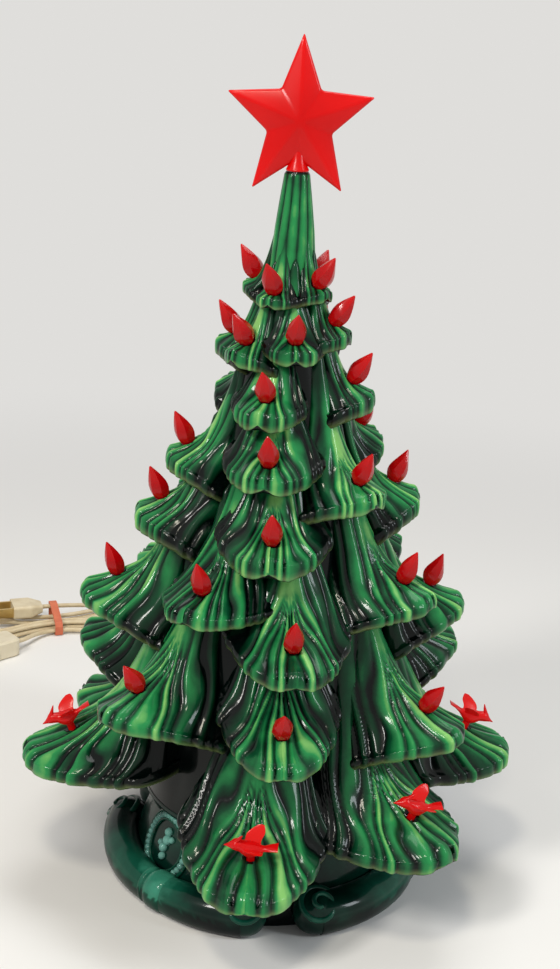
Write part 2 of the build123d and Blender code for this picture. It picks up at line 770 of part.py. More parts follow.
# Plug lying on the hank, with its two flat blades
plug_place = hank_point(plug_rear, waist_widths[-1], plug_middle)
plug_plane = Plane(
    origin=plug_place,
    x_dir=(sin(tie_turn), -cos(tie_turn), 0),
    z_dir=(-cos(tie_turn), -sin(tie_turn), 0),
)
with BuildPart() as plug_body:
    with BuildSketch(plug_plane):
        RectangleRounded(plug_neck_share * plug_width, plug_neck_share * plug_thickness, plug_corner)
    with BuildSketch(plug_plane.offset(plug_shoulder_share * plug_length)):
        RectangleRounded(plug_width, plug_thickness, plug_corner)
    loft(ruled=True)
    with BuildSketch(plug_plane.offset(plug_shoulder_share * plug_length)):
        RectangleRounded(plug_width, plug_thickness, plug_corner)
    extrude(amount=(1 - plug_shoulder_share) * plug_length)
plug_body.part.label = "plug_body"
export_step(plug_body.part, "parts/plug_body.step")

with BuildPart() as plug_blades:
    with BuildSketch(plug_plane.offset(plug_length)):
        with GridLocations(blade_spacing, 0, 2, 1):
            Rectangle(blade_thickness, blade_width)
    extrude(amount=blade_length)
plug_blades.part.label = "plug_blades"
export_step(plug_blades.part, "parts/plug_blades.step")

# In-line switch: two half shells round a thumb wheel on its pins
switch_heading = radians(hank_angle + switch_angle)
switch_origin = hank_point(
    switch_near[0] - switch_length / 2 * switch_step[0],
    switch_near[1] - switch_length / 2 * switch_step[1],
    0,
)
switch_ahead = (cos(switch_heading), sin(switch_heading), 0)
switch_floor = Plane(origin=switch_origin, x_dir=switch_ahead, z_dir=(0, 0, 1))
wheel_offset = -(switch_width / 2 + wheel_proud - wheel_radius)
slot_half = wheel_thickness / 2 + clearance
pin_half = slot_half + wheel_pin_length
for half_name, half_base, slot_base, pin_base in (
    ("switch_bottom", 0, switch_middle - slot_half, switch_middle - pin_half - clearance),
    ("switch_top", switch_middle, switch_middle, switch_middle + slot_half - overrun),
):
    with BuildPart() as switch_half:
        with BuildSketch(switch_floor.offset(half_base)):
            RectangleRounded(switch_length, switch_width, switch_corner)
        extrude(amount=switch_middle)
        with BuildSketch(switch_floor.offset(slot_base)):
            with Locations((0, wheel_offset)):
                Circle(wheel_radius + clearance)
        extrude(amount=slot_half, mode=Mode.SUBTRACT)
        with BuildSketch(switch_floor.offset(pin_base)):
            with Locations((0, wheel_offset)):
                Circle(wheel_pin_radius + clearance)
        extrude(amount=wheel_pin_length + clearance + overrun, mode=Mode.SUBTRACT)
        outer_face = Axis.Z if half_base else -Axis.Z
        chamfer(switch_half.faces().sort_by(outer_face)[-1].outer_wire().edges(), switch_chamfer)
    switch_half.part.label = half_name
    export_step(switch_half.part, f"parts/{half_name}.step")

with BuildPart() as switch_wheel:
    with BuildSketch(switch_floor.offset(switch_middle - wheel_thickness / 2)):
        with Locations((0, wheel_offset)):
            Circle(wheel_radius)
            with PolarLocations(wheel_radius, wheel_grips):
                Circle(wheel_grip_radius, mode=Mode.SUBTRACT)
    extrude(amount=wheel_thickness)
    with BuildSketch(switch_floor.offset(switch_middle - pin_half)):
        with Locations((0, wheel_offset)):
            Circle(wheel_pin_radius)
    extrude(amount=2 * pin_half)
switch_wheel.part.label = "switch_wheel"
export_step(switch_wheel.part, "parts/switch_wheel.step")
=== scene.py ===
"""Looks of a lighted ceramic Christmas tree on its scroll base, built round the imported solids."""

import json
import logging
from dataclasses import dataclass, field
from enum import Enum
from math import atan2, cos, pi, radians, sin, sqrt

import bpy
import numpy as np
from bpy.types import Material, Node, NodeSocket, NodeTree, Object
from mathutils import Matrix, Vector

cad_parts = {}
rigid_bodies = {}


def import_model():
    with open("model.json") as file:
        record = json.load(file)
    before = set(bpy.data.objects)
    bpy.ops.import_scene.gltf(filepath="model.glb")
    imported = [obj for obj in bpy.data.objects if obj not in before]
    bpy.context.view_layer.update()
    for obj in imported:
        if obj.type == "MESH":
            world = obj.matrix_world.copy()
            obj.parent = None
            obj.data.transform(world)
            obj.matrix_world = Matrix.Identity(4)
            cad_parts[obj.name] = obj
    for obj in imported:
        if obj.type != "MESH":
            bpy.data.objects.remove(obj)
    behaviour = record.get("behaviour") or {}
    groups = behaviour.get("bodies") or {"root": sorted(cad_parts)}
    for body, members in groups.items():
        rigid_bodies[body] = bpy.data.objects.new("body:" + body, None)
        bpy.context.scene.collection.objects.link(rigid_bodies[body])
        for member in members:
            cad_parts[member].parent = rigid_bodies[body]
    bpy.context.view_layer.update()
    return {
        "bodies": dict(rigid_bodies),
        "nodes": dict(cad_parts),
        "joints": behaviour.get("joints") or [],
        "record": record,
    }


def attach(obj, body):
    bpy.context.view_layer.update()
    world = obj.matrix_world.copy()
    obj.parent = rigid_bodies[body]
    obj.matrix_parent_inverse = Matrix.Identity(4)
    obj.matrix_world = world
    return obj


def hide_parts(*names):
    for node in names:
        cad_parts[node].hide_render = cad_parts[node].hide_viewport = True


log = logging.getLogger("ceramic_tree")
Triple = tuple[float, float, float]
Number = np.ndarray | float
MM = 0.001
TURN = 2 * pi
UP = np.array((0.0, 0.0, 1.0))
WELD = 2e-5
FINE = 145
BACKDROP = (0.74, 0.73, 0.71)


class Body(Enum):
    """The moving bodies that pieces ride on."""

    BASE = "base"
    TREE = "tree"
    STAR = "star"
    LAMP = "lamp"


# Shapes shared by several pieces


def deselect() -> None:
    """Leaves edit mode and deselects everything."""
    if bpy.context.object is not None and bpy.context.object.mode != "OBJECT":
        bpy.ops.object.mode_set(mode="OBJECT")
    bpy.ops.object.select_all(action="DESELECT")


def pick(*pieces: Object) -> None:
    """Selects these pieces alone and makes the first one active."""
    deselect()
    for piece in pieces:
        piece.select_set(True)
    bpy.context.view_layer.objects.active = pieces[0]


def rename(piece: Object, name: str) -> Object:
    """Names a piece and its mesh, and returns it."""
    piece.name = name
    piece.data.name = name
    return piece


def face_out(piece: Object, weld: float = 0.0) -> None:
    """Welds points that lie closer than a distance, if one is given, and turns the faces outwards."""
    pick(piece)
    bpy.ops.object.mode_set(mode="EDIT")
    bpy.ops.mesh.select_all(action="SELECT")
    if weld:
        bpy.ops.mesh.remove_doubles(threshold=weld)
    bpy.ops.mesh.normals_make_consistent(inside=False)
    bpy.ops.object.mode_set(mode="OBJECT")


def sheet_over(name: str, points: np.ndarray, **values: Number) -> Object:
    """Lays a grid primitive over rows and columns of points and closes its seams and poles.

    Args:
        name: Name of the new piece.
        points: Rows by columns by 3, in millimetres.
        **values: A value for each point, or one for all, kept under its name as an attribute of the mesh.

    Returns:
        The closed piece, at the origin.
    """
    rows, columns = points.shape[:2]
    deselect()
    bpy.ops.mesh.primitive_grid_add(x_subdivisions=columns - 1, y_subdivisions=rows - 1, size=1.0)
    piece = rename(bpy.context.object, name)
    piece.data.vertices.foreach_set("co", (points * MM).astype(np.float32).ravel())
    for key, value in values.items():
        layer = piece.data.attributes.new(key, "FLOAT", "POINT")
        layer.data.foreach_set("value", np.broadcast_to(value, (rows, columns)).astype(np.float32).ravel())
    piece.data.update()
    face_out(piece, WELD)
    return piece


def join(name: str, pieces: list[Object]) -> Object:
    """Joins pieces into the first one and names it."""
    pick(*pieces)
    bpy.ops.object.join()
    return rename(bpy.context.object, name)


def smooth(piece: Object, angle: float) -> None:
    """Shades a piece smooth up to an angle in degrees."""
    pick(piece)
    bpy.ops.object.shade_smooth_by_angle(angle=radians(angle))


def trim(piece: Object, cutter: Object) -> None:
    """Cuts one closed piece out of another and deletes the cutter."""
    pick(piece)
    modifier = piece.modifiers.new("cut", "BOOLEAN")
    modifier.operation = "DIFFERENCE"
    modifier.solver = "MANIFOLD"
    modifier.object = cutter
    bpy.ops.object.modifier_apply(modifier=modifier.name)
    bpy.data.objects.remove(cutter, do_unlink=True)


def fade(low: float, high: float, value: Number) -> Number:
    """Smooth step from 0 at low to 1 at high."""
    share = np.clip((value - low) / (high - low), 0.0, 1.0)
    return share * share * (3 - 2 * share)


def spots(x: Number, y: Number, z: Number) -> np.ndarray:
    """Points from coordinates of any matching shapes."""
    return np.stack(np.broadcast_arrays(x, y, z), axis=-1)


def rings(radius: Number, height: Number, turns: np.ndarray) -> np.ndarray:
    """Points round the Z axis at each turn."""
    return spots(radius * np.cos(turns), radius * np.sin(turns), height)


def revolve(profile: list[tuple[float, float]], columns: int) -> np.ndarray:
    """Rows of points round the Z axis for a profile of radius and height."""
    radius, height = np.array(profile, dtype=float).T[:, :, None]
    return rings(radius, height, np.linspace(0, TURN, columns))


def capped(rows: np.ndarray) -> np.ndarray:
    """Adds an end row at each end, drawn in to the middle of the row beside it."""
    ends = [np.repeat(row.mean(axis=1, keepdims=True), rows.shape[1], axis=1) for row in (rows[:1], rows[-1:])]
    return np.concatenate([ends[0], rows, ends[1]])


def tube_points(path: np.ndarray, radii: Number, sides: int) -> np.ndarray:
    """Rows of points round a path, closed to a point at both ends.

    Args:
        path: Points along the middle, in millimetres, nowhere upright.
        radii: Radius at each point, or one for all.
        sides: Corners of the section.

    Returns:
        Rows by columns by 3.
    """
    ahead = np.gradient(path, axis=0)
    ahead /= np.linalg.norm(ahead, axis=1)[:, None]
    side = np.cross(ahead, UP)
    side /= np.linalg.norm(side, axis=1)[:, None]
    top = np.cross(side, ahead)
    turns = np.linspace(0, TURN, sides + 1)[None, :, None]
    section = side[:, None] * np.cos(turns) + top[:, None] * np.sin(turns)
    rows = path[:, None] + section * np.broadcast_to(radii, len(path))[:, None, None]
    ends = [np.repeat(end[None], sides + 1, axis=1) for end in (path[:1], path[-1:])]
    return np.concatenate([ends[0], rows, ends[1]])


# Finishes


class Nodes:
    """A small builder for the nodes of a material or of the surroundings."""

    def __init__(self, tree: NodeTree) -> None:
        """Starts on a tree of nodes."""
        self.tree = tree

    def node(self, kind: str, **settings: object) -> Node:
        """Adds a node with its own settings."""
        made = self.tree.nodes.new(kind)
        for key, value in settings.items():
            setattr(made, key, value)
        return made

    def link(self, start: NodeSocket, end: NodeSocket) -> None:
        """Joins two sockets."""
        self.tree.links.new(start, end)

    def feed(self, socket: NodeSocket, value: NodeSocket | Triple | float) -> None:
        """Gives a socket another one's result, or a colour or number of its own."""
        if isinstance(value, NodeSocket):
            self.link(value, socket)
        else:
            socket.default_value = (*value, 1.0) if isinstance(value, tuple) else value

    def math(self, operation: str, first: NodeSocket | float, second: NodeSocket | float) -> NodeSocket:
        """Adds a sum of two sockets or numbers and returns its result."""
        made = self.node("ShaderNodeMath", operation=operation)
        for socket, value in zip(made.inputs, (first, second)):
            self.feed(socket, value)
        return made.outputs[0]

    def attribute(self, name: str) -> NodeSocket:
        """Reads a value that the mesh carries."""
        return self.node("ShaderNodeAttribute", attribute_name=name).outputs["Fac"]

    def noise(self, scale: float, detail: float = 3.0) -> NodeSocket:
        """Noise on the piece's own coordinates."""
        made = self.node("ShaderNodeTexNoise")
        self.feed(made.inputs["Scale"], scale)
        self.feed(made.inputs["Detail"], detail)
        self.link(self.node("ShaderNodeTexCoord").outputs["Object"], made.inputs["Vector"])
        return made.outputs["Fac"]

    def mottle(self, scale: float, detail: float, amount: float) -> NodeSocket:
        """Noise about zero."""
        return self.math("MULTIPLY", self.math("SUBTRACT", self.noise(scale, detail), 0.5), amount)

    def ramp(self, value: NodeSocket, stops: list[tuple[float, Triple]]) -> NodeSocket:
        """Turns a value into a colour through stops of place and colour."""
        made = self.node("ShaderNodeValToRGB")
        elements = made.color_ramp.elements
        while len(elements) < len(stops):
            elements.new(0.5)
        for element, (place, colour) in zip(elements, stops):
            element.position = place
            element.color = (*colour, 1.0)
        self.link(value, made.inputs["Fac"])
        return made.outputs["Color"]

    def mix(self, share: NodeSocket, first: NodeSocket, second: Triple) -> NodeSocket:
        """Mixes two colours by a share."""
        made = self.node("ShaderNodeMix", data_type="RGBA")
        for place, value in ((0, share), (6, first), (7, second)):
            self.feed(made.inputs[place], value)
        return made.outputs[2]

    def blend(self, share: NodeSocket, first: NodeSocket, second: NodeSocket) -> NodeSocket:
        """Mixes two shaders by a share."""
        made = self.node("ShaderNodeMixShader")
        for socket, value in zip(made.inputs, (share, first, second)):
            self.link(value, socket)
        return made.outputs[0]

    def seen(self) -> NodeSocket:
        """1 for rays from the camera, from a gloss or through a clear piece, else 0."""
        rays = self.node("ShaderNodeLightPath").outputs
        direct = self.math("MAXIMUM", rays["Is Camera Ray"], rays["Is Glossy Ray"])
        return self.math("MAXIMUM", direct, rays["Is Transmission Ray"])


class Shader(Nodes):
    """The nodes of a material round its principled shader."""

    def __init__(self, name: str) -> None:
        """Starts a material."""
        self.material = bpy.data.materials.new(name)
        self.material.use_nodes = True
        super().__init__(self.material.node_tree)
        self.surface = self.tree.nodes["Principled BSDF"]

    def finish(self, **values: NodeSocket | Triple | float) -> Material:
        """Feeds the principled shader's sockets, with underscores for spaces, and returns the material."""
        for key, value in values.items():
            self.feed(self.surface.inputs[key.replace("_", " ")], value)
        return self.material


@dataclass(frozen=True)
class Glaze:
    """Glossy green glaze: dark where it pools and where painted shade falls, pale where it runs thin."""

    name: str
    pooled_and_shaded: Triple
    deep: Triple
    body: Triple
    thin: Triple
    edge: Triple
    reach: float
    streak: float = 0.5
    cloud: float = 0.75
    rubbed: float = 0.62

    def make(self) -> Material:
        """Returns the glaze as a material that reads a mesh's flute, depth and pale values; a low depth value paints
        shade.
        """
        shader = Shader(self.name)
        streaks = shader.mottle(90.0, 4.0, self.streak)
        clouds = shader.mottle(27.0, 2.0, self.cloud)
        height = shader.math("ADD", shader.attribute("flute"), shader.math("ADD", streaks, clouds))
        # Painted shade: a low depth value, scaled by reach, darkens the glaze towards its darkest stops.
        depth = shader.math("MULTIPLY", shader.attribute("depth"), self.reach)
        value = shader.math("MULTIPLY", height, shader.math("ADD", depth, 1.0 - self.reach))
        stops = [(0.16, self.pooled_and_shaded), (0.42, self.deep), (0.74, self.body), (1.0, self.thin)]
        pale = shader.math("MULTIPLY", shader.attribute("pale"), shader.math("ADD", clouds, self.rubbed))
        return shader.finish(
            Base_Color=shader.mix(pale, shader.ramp(value, stops), self.edge), Roughness=0.3, IOR=1.45,
            Specular_IOR_Level=0.06, Coat_Weight=0.34, Coat_Roughness=0.09, Coat_IOR=1.5,
        )


@dataclass(frozen=True)
class ClearPlastic:
    """Tinted see-through plastic, a little paler where the moulding is thin."""

    name: str
    colour: Triple
    thin: Triple
    clear: float
    roughness: float
    glow: float

    def make(self) -> Material:
        """Returns the plastic as a material, with a faint painted glow in its own colour."""
        shader = Shader(self.name)
        cloud = shader.math("MULTIPLY", shader.noise(70.0), 0.5)
        value = shader.math("ADD", cloud, shader.math("MULTIPLY", shader.attribute("pale"), 0.75))
        # Painted glow: the plastic gives off light in its own colour, though it is no lamp.
        return shader.finish(
            Base_Color=shader.ramp(value, [(0.15, self.colour), (1.0, self.thin)]), Roughness=self.roughness,
            IOR=1.4, Specular_IOR_Level=0.3, Transmission_Weight=self.clear, Emission_Color=self.colour,
            Emission_Strength=self.glow,
        )


@dataclass(frozen=True)
class Plain:
    """A plain finish with faint mottling: vinyl, plastic, rubber, metal or glass."""

    name: str
    colour: Triple
    shade: Triple
    roughness: float
    metallic: float = 0.0
    clear: float = 0.0
    scale: float = 120.0

    def make(self) -> Material:
        """Returns the finish as a material."""
        shader = Shader(self.name)
        colour = shader.ramp(shader.noise(self.scale), [(0.3, self.shade), (0.7, self.colour)])
        return shader.finish(
            Base_Color=colour, Roughness=self.roughness, Metallic=self.metallic, IOR=1.5, Transmission_Weight=self.clear
        )


class Finishes:
    """Every finish of the tree, made once."""

    def __init__(self) -> None:
        """Makes the materials."""
        self.tree = Glaze(
            "tree_green_glaze", (0.0003, 0.002, 0.0016), (0.002, 0.05, 0.018), (0.018, 0.24, 0.066),
            (0.22, 0.52, 0.14), (0.33, 0.44, 0.16), 0.84,
        ).make()
        self.base = Glaze(
            "base_green_glaze", (0.0005, 0.003, 0.003), (0.001, 0.02, 0.013), (0.005, 0.075, 0.045),
            (0.05, 0.29, 0.19), (0.28, 0.48, 0.48), 0.5,
        ).make()
        # The red plastics carry a faint painted glow.
        self.star = ClearPlastic("star_clear_red", (0.52, 0.0, 0.0), (0.74, 0.004, 0.004), 0.15, 0.24, 0.09).make()
        self.bulb = ClearPlastic("bulb_clear_red", (0.38, 0.0, 0.002), (0.62, 0.008, 0.008), 0.25, 0.16, 0.11).make()
        self.bird = ClearPlastic("bird_clear_red", (0.52, 0.0, 0.002), (0.74, 0.012, 0.008), 0.2, 0.2, 0.18).make()
        self.cord = Plain("cord_cream_vinyl", (0.66, 0.55, 0.36), (0.56, 0.44, 0.26), 0.45).make()
        self.plug = Plain("plug_cream_vinyl", (0.72, 0.62, 0.43), (0.6, 0.49, 0.31), 0.42).make()
        self.switch = Plain("switch_cream_plastic", (0.74, 0.66, 0.5), (0.66, 0.57, 0.4), 0.38).make()
        self.tie = Plain("tie_red_rubber", (0.62, 0.16, 0.07), (0.5, 0.1, 0.045), 0.55).make()
        self.brass = Plain("plain_brass", (0.78, 0.6, 0.28), (0.62, 0.45, 0.18), 0.3, metallic=1.0).make()
        self.socket = Plain("socket_white_plastic", (0.78, 0.76, 0.7), (0.7, 0.68, 0.62), 0.4).make()
        self.glass = Plain(
            "lamp_clear_glass", (0.97, 0.96, 0.92), (0.93, 0.92, 0.86), 0.03, clear=0.9, scale=40.0
        ).make()


def dress(piece: Object, finish: Material) -> None:
    """Gives a piece one finish all over."""
    piece.data.materials.clear()
    piece.data.materials.append(finish)


# Tree casting


@dataclass
class Tier:
    """One ring of branches, each an angle in degrees, a reach and its tip's height."""

    half_width: float
    edge: float
    lean: float
    barbs: float
    flank: float
    rows: int
    branches: list[Triple]


@dataclass
class Seat:
    """A peg's place in a branch: the middle of its dish, its axis and the way round the tree."""

    name: str
    origin: Vector
    axis: Vector
    tangent: Vector

    def frame(self) -> Matrix:
        """The seat's frame: X round the tree and Z along the peg."""
        across = self.axis.cross(self.tangent)
        rotation = Matrix((self.tangent, across, self.axis)).transposed()
        return Matrix.Translation(self.origin) @ rotation.to_4x4()

    def placed(self, rows: np.ndarray) -> np.ndarray:
        """Points given in the seat's frame, moved to the tree."""
        frame = np.array(self.frame())
        return rows @ frame[:3, :3].T + frame[:3, 3]


SKIRT = 119.0
TREE_LOW = 44.0
TREE_TALL = 299.0
FOOT = 60.0
# Half width, edge, lean and barbs of each tier, and the angle, reach and height of its branches
TIER_SHARES = (
    (0.084, 0.45, 34.0, 1.6, (
        (-112, 0.193, 0.833), (-27, 0.185, 0.823), (50, 0.176, 0.833), (140, 0.185, 0.826))),
    (0.118, 0.45, 34.0, 1.8, (
        (-105, 0.286, 0.743), (-50, 0.273, 0.743), (7, 0.260, 0.753), (70, 0.244, 0.773), (150, 0.269, 0.749))),
    (0.145, 0.45, 32.0, 2.0, (
        (-16, 0.353, 0.666), (82, 0.345, 0.679), (165, 0.353, 0.666), (-138, 0.353, 0.666))),
    (0.200, 0.30, 26.0, 2.8, (
        (122, 0.437, 0.592), (-88, 0.454, 0.569), (-8, 0.445, 0.582), (48, 0.479, 0.549), (-155, 0.462, 0.569))),
    (0.227, 0.30, 24.0, 3.0, (
        (105, 0.571, 0.505), (-85, 0.571, 0.478), (-3, 0.563, 0.472), (170, 0.571, 0.478), (-140, 0.571, 0.478))),
    (0.240, 0.20, 22.0, 3.2, (
        (-30, 0.664, 0.388), (63, 0.672, 0.388), (134, 0.647, 0.401), (-128, 0.706, 0.341))),
    (0.255, 0.20, 22.0, 3.4, (
        (-89, 0.782, 0.338), (7, 0.739, 0.324), (100, 0.782, 0.328), (178, 0.765, 0.331))),
    (0.250, 0.20, 34.0, 3.4, (
        (-47, 0.840, 0.221), (4, 0.849, 0.201), (58, 0.866, 0.194), (118, 0.874, 0.222), (-178, 0.857, 0.204),
        (-115, 0.900, 0.204))),
    (0.315, 0.18, 22.0, 3.6, (
        (-75, 1.008, 0.094), (-3, 1.008, 0.023), (44, 0.992, 0.050), (91, 1.002, 0.087), (140, 1.000, 0.060),
        (-170, 1.008, 0.060), (-125, 1.000, 0.060))),
)
# Radius and height of the trunk
CORE_SHARES = (
    (1.0, 0.0), (1.0, 0.06), (0.9, 0.214), (0.767, 0.331), (0.6, 0.475), (0.483, 0.569), (0.367, 0.666),
    (0.275, 0.749), (0.183, 0.826), (0.147, 0.913), (0.092, 1.0),
)
# Radius and height of a peg's hole and dish
HOLE = ((0.0, -8.6), (2.15, -8.6), (2.15, 0.0), (3.4, 0.0), (5.2, 5.25), (5.6, 12.0), (0.0, 12.0))
BIRD_TIER = 8
RAISED_BIRD = (7, 5)


@dataclass
class TreeCasting:
    """The hollow ceramic tree: a fluted trunk and tiers of drooping branches with peg holes."""

    root_share: float = 0.35
    rise_share: float = 0.62
    ridge_power: float = 1.6
    flank: float = 1.7
    skirt_flank: float = 0.9
    front_flank: float = 0.45
    flank_power: float = 1.7
    lip_share: float = 0.12
    shoulder_end: float = 0.56
    shoulder_rise: float = 10.0
    shoulder_share: float = 0.4
    shoulder_power: float = 1.8
    swell: float = 0.38
    end: float = 1.02
    tip_start: float = 0.95
    tip_power: float = 1.3
    tip_soft: float = 0.12
    front_narrow: float = 0.1
    strand_angle: float = 36.0
    strand_pitch: float = 2.6
    strand_pitch_share: float = 0.25
    fan_share: float = 0.34
    flute_share: float = 0.055
    flute_level: float = 0.78
    ragged: float = 0.045
    wall: float = 4.0
    sunk: float = 3.0
    station: float = 0.72
    top_station: float = 0.6
    top_tiers: int = 3
    rows: int = 56
    rows_more: int = 8
    seats: list[Seat] = field(default_factory=list)
    pieces: list[Object] = field(default_factory=list)

    def tiers(self) -> list[Tier]:
        """The tiers from the top down, in millimetres."""
        made = []
        for rank, (width, edge, lean, barbs, places) in enumerate(TIER_SHARES):
            branches = [(angle, r * SKIRT, TREE_LOW + h * TREE_TALL) for angle, r, h in places]
            flank = self.skirt_flank if rank == BIRD_TIER else self.flank
            rows = self.rows + self.rows_more * rank
            made.append(Tier(width * SKIRT, edge * width * SKIRT, lean, barbs, flank, rows, branches))
        return made

    def core_radius(self, height: Number) -> Number:
        """The trunk's radius at a height."""
        heights = [TREE_LOW + h * TREE_TALL for _, h in CORE_SHARES]
        return np.interp(height, heights, [r * FOOT for r, _ in CORE_SHARES])

    def rise(self, reach: float, along: Number) -> Number:
        """Height of a branch's ridge over its tip."""
        rest = np.maximum(1.0 - along, 0.0)
        return self.rise_share * (1 - self.root_share) * reach * rest**self.ridge_power

    def shoulder(self, reach: float, along: np.ndarray) -> np.ndarray:
        """How far a branch's root climbs the trunk over its ridge line."""
        rest = np.clip((self.shoulder_end - along) / self.shoulder_end, 0.0, 1.0)
        return (self.shoulder_rise + self.shoulder_share * reach) * rest**self.shoulder_power

    def ridge(self, reach: float, along: Number) -> Number:
        """Distance of a branch's ridge from the trunk's axis."""
        return reach * (self.root_share + along * (1 - self.root_share))

    def outline(self, along: np.ndarray) -> np.ndarray:
        """A branch's half width along its ridge, as a share: swelling from the root, then rounding to the tip."""
        swelling = 0.58 + 0.42 * np.sin(0.5 * pi * np.clip(along / self.swell, 0, 1))
        rounding = np.clip(along - self.swell, 0, 1) / (self.end - self.swell)
        return np.where(along < self.swell, swelling, np.sqrt(np.clip(1 - rounding**self.tip_power, 0, 1)))

    def start(self, reach: float, tip: float) -> float:
        """Where along its ridge a branch comes out of the trunk."""
        trial = np.linspace(-0.2, 0.8, 201)
        top = tip + self.rise(reach, trial) + self.shoulder(reach, trial)
        outside = self.ridge(reach, trial) >= self.core_radius(top) - self.sunk
        return float(trial[np.argmax(outside)])

    def strands(
        self, tier: Tier, aside: np.ndarray, ahead: np.ndarray, focus: float, seed: int
    ) -> tuple[np.ndarray, np.ndarray]:
        """Height of a branch's strands, which leave the ridge at an angle and fan out round the peg.

        Args:
            tier: The tier that the branch belongs to.
            aside: Signed distance of each point from the ridge.
            ahead: Distance of each point along the ridge.
            focus: Distance of the fan's middle along the ridge.
            seed: Number that sets this branch's own strands.

        Returns:
            The height, 0 in a groove and 1 on a crest, and the distance from the ridge or the fan's middle.
        """
        hands = np.random.default_rng(seed).uniform(0, TURN, (2, 4))
        shifts = [np.where(aside < 0, hands[0, k], hands[1, k]) for k in range(4)]
        angle = radians(self.strand_angle)
        wide = np.abs(aside)
        fan = np.arctan2(wide, ahead - focus)
        leaving = ahead - wide / np.tan(angle)
        pitch = self.strand_pitch + self.strand_pitch_share * tier.half_width
        phase = np.where(fan < angle, tier.barbs * fan / angle, tier.barbs + (focus - leaving) / pitch)
        parting = fade(0.0, 0.5 * tier.half_width, wide)
        phase = (
            phase
            + 0.3 * np.sin(1.9 * phase + shifts[0]) * parting
            + 0.22 * np.sin(0.16 * wide + shifts[1]) * parting
        )
        phase = phase + 0.16 * np.sin(0.33 * wide + 0.1 * ahead + shifts[2])
        level = 0.74 + 0.26 * np.sin(2.4 * np.round(phase) + shifts[3])
        broad = np.abs(np.cos(pi * phase)) ** 0.85 * level
        fine = np.abs(np.cos(TURN * phase + 0.8)) ** 0.8
        reach = np.where(ahead > focus, np.hypot(wide, ahead - focus), wide)
        return 0.88 * broad + 0.12 * fine, reach

    def branch(self, name: str, tier: Tier, place: Triple, seed: int) -> Object:
        """Models one branch: an arched tongue of swept strands with a ragged rolled edge and hanging flanks.

        Args:
            name: Name of the branch.
            tier: The tier it belongs to.
            place: Its angle in degrees, its reach and its tip's height.
            seed: Number that sets its own strands.

        Returns:
            The closed branch.
        """
        angle, reach, tip = place
        facing = float(fade(-50.0, -15.0, -abs(angle)))
        half, edge = tier.half_width * (1 - self.front_narrow * facing), tier.edge
        length = reach * (1 - self.root_share)
        focus = self.fan_share * length
        # The ridge, from the trunk to the tip
        start = self.start(reach, tip)
        along = start + (self.end - start) * (1 - (1 - np.linspace(0, 1, tier.rows)) ** 1.6)
        wide = self.outline(along)[:, None]
        shoulder = self.shoulder(reach, along)[:, None]
        rise = self.rise(reach, along)[:, None] + shoulder
        flank = tier.flank - (tier.flank - self.front_flank) * facing
        drop = flank * (rise - shoulder) + shoulder + self.lip_share * half
        # The section: over the top, round one rim, back underneath and round the other
        tops, rims, unders = 2 * (16 + 5 * int(tier.barbs + 2)) + 1, 7, 7
        across = np.linspace(-1, 1, tops)[None]
        curl = np.linspace(pi / 2, -pi / 2, rims + 2)[None, 1:-1]
        below = np.linspace(1, -1, unders)[None]
        rim_x = wide * (half + 0.35 * edge * np.cos(curl))
        rim_y = -drop - edge / 2 + edge / 2 * np.sin(curl)
        top_y = -drop * np.abs(across) ** self.flank_power
        under_y = -(drop + edge) * (0.88 + 0.12 * np.abs(below))
        aside = np.concatenate([wide * half * across, rim_x, wide * half * below, -rim_x[:, ::-1]], axis=1)
        lift = np.concatenate([top_y, rim_y, under_y, rim_y[:, ::-1]], axis=1)
        closing = np.clip(along - self.tip_start, 0, 1) / (self.end - self.tip_start)
        closing = np.sqrt(np.clip(1 - closing**2, 0, 1))[:, None]
        middle = -drop - edge / 2
        lift = middle + (lift - middle) * closing
        # The strands and the ragged edge
        ahead = (along * length)[:, None] * np.ones_like(aside)
        height, spread = self.strands(tier, aside, ahead, focus, seed)
        height = 1 - (1 - height) * (1 - self.tip_soft * fade(0.45, 0.85, along))[:, None]
        rim_share = np.linspace(0.9, 0.15, rims)
        showing = np.concatenate([np.ones(tops), rim_share, np.zeros(unders), np.linspace(0.15, 0.9, rims)])[None]
        flute = 1 - fade(0.02 * half, 0.32 * half, spread) * (1 - height)
        ragged = self.ragged * half * (height - 0.7) * fade(0.45 * half, half, spread)
        turned = np.arctan2(aside, np.maximum(ahead - focus, 0.35 * np.abs(aside)))
        aside = aside + ragged * np.sin(turned)
        out = self.root_share * reach + ahead + np.where(ahead > focus, ragged * np.cos(turned), 0.5 * ragged)
        turn = radians(angle)
        points = spots(
            out * sin(turn) + aside * cos(turn), -out * cos(turn) + aside * sin(turn), tip + rise + lift
        )
        run = np.gradient(points, axis=0)
        ring = (np.roll(points, -1, axis=1) - np.roll(points, 1, axis=1)) / 2
        normal = np.cross(run, ring)
        normal /= np.maximum(np.linalg.norm(normal, axis=2), 1e-9)[:, :, None]
        heart = points.mean(axis=1, keepdims=True)
        outwards = np.sign((normal * (points - heart)).sum(axis=2))
        root = fade(0.0, 0.12, along - start)[:, None]
        push = (self.flute_share * half + 0.35) * (flute - self.flute_level) * showing * root * closing
        points = points + normal * (outwards * push)[:, :, None]
        # What the glaze reads: painted shade through depth near the trunk, on hanging flanks and underneath, and a low
        # flute value underneath
        hanging = fade(0.35, 1.0, np.abs(aside) / half) * (1 - fade(0.5, 0.95, along))[:, None]
        depth = fade(0.0, 0.62, along - start)[:, None] * (1 - 0.85 * hanging) * (0.25 + 0.75 * (showing > 0))
        pale = np.zeros_like(depth)
        pale[:, tops + rims - 3 : tops + rims] = (0.15, 0.45, 0.35)
        pale[:, tops + rims + unders : tops + rims + unders + 3] = (0.35, 0.45, 0.15)
        # Painted shade: the underside gets a low flute value.
        layers = (points, np.where(showing > 0, flute, 0.2), depth, pale)
        points, flute, depth, pale = [capped(np.concatenate([rows, rows[:, :1]], axis=1)) for rows in layers]
        return sheet_over(name, points, flute=flute, depth=depth, pale=pale)

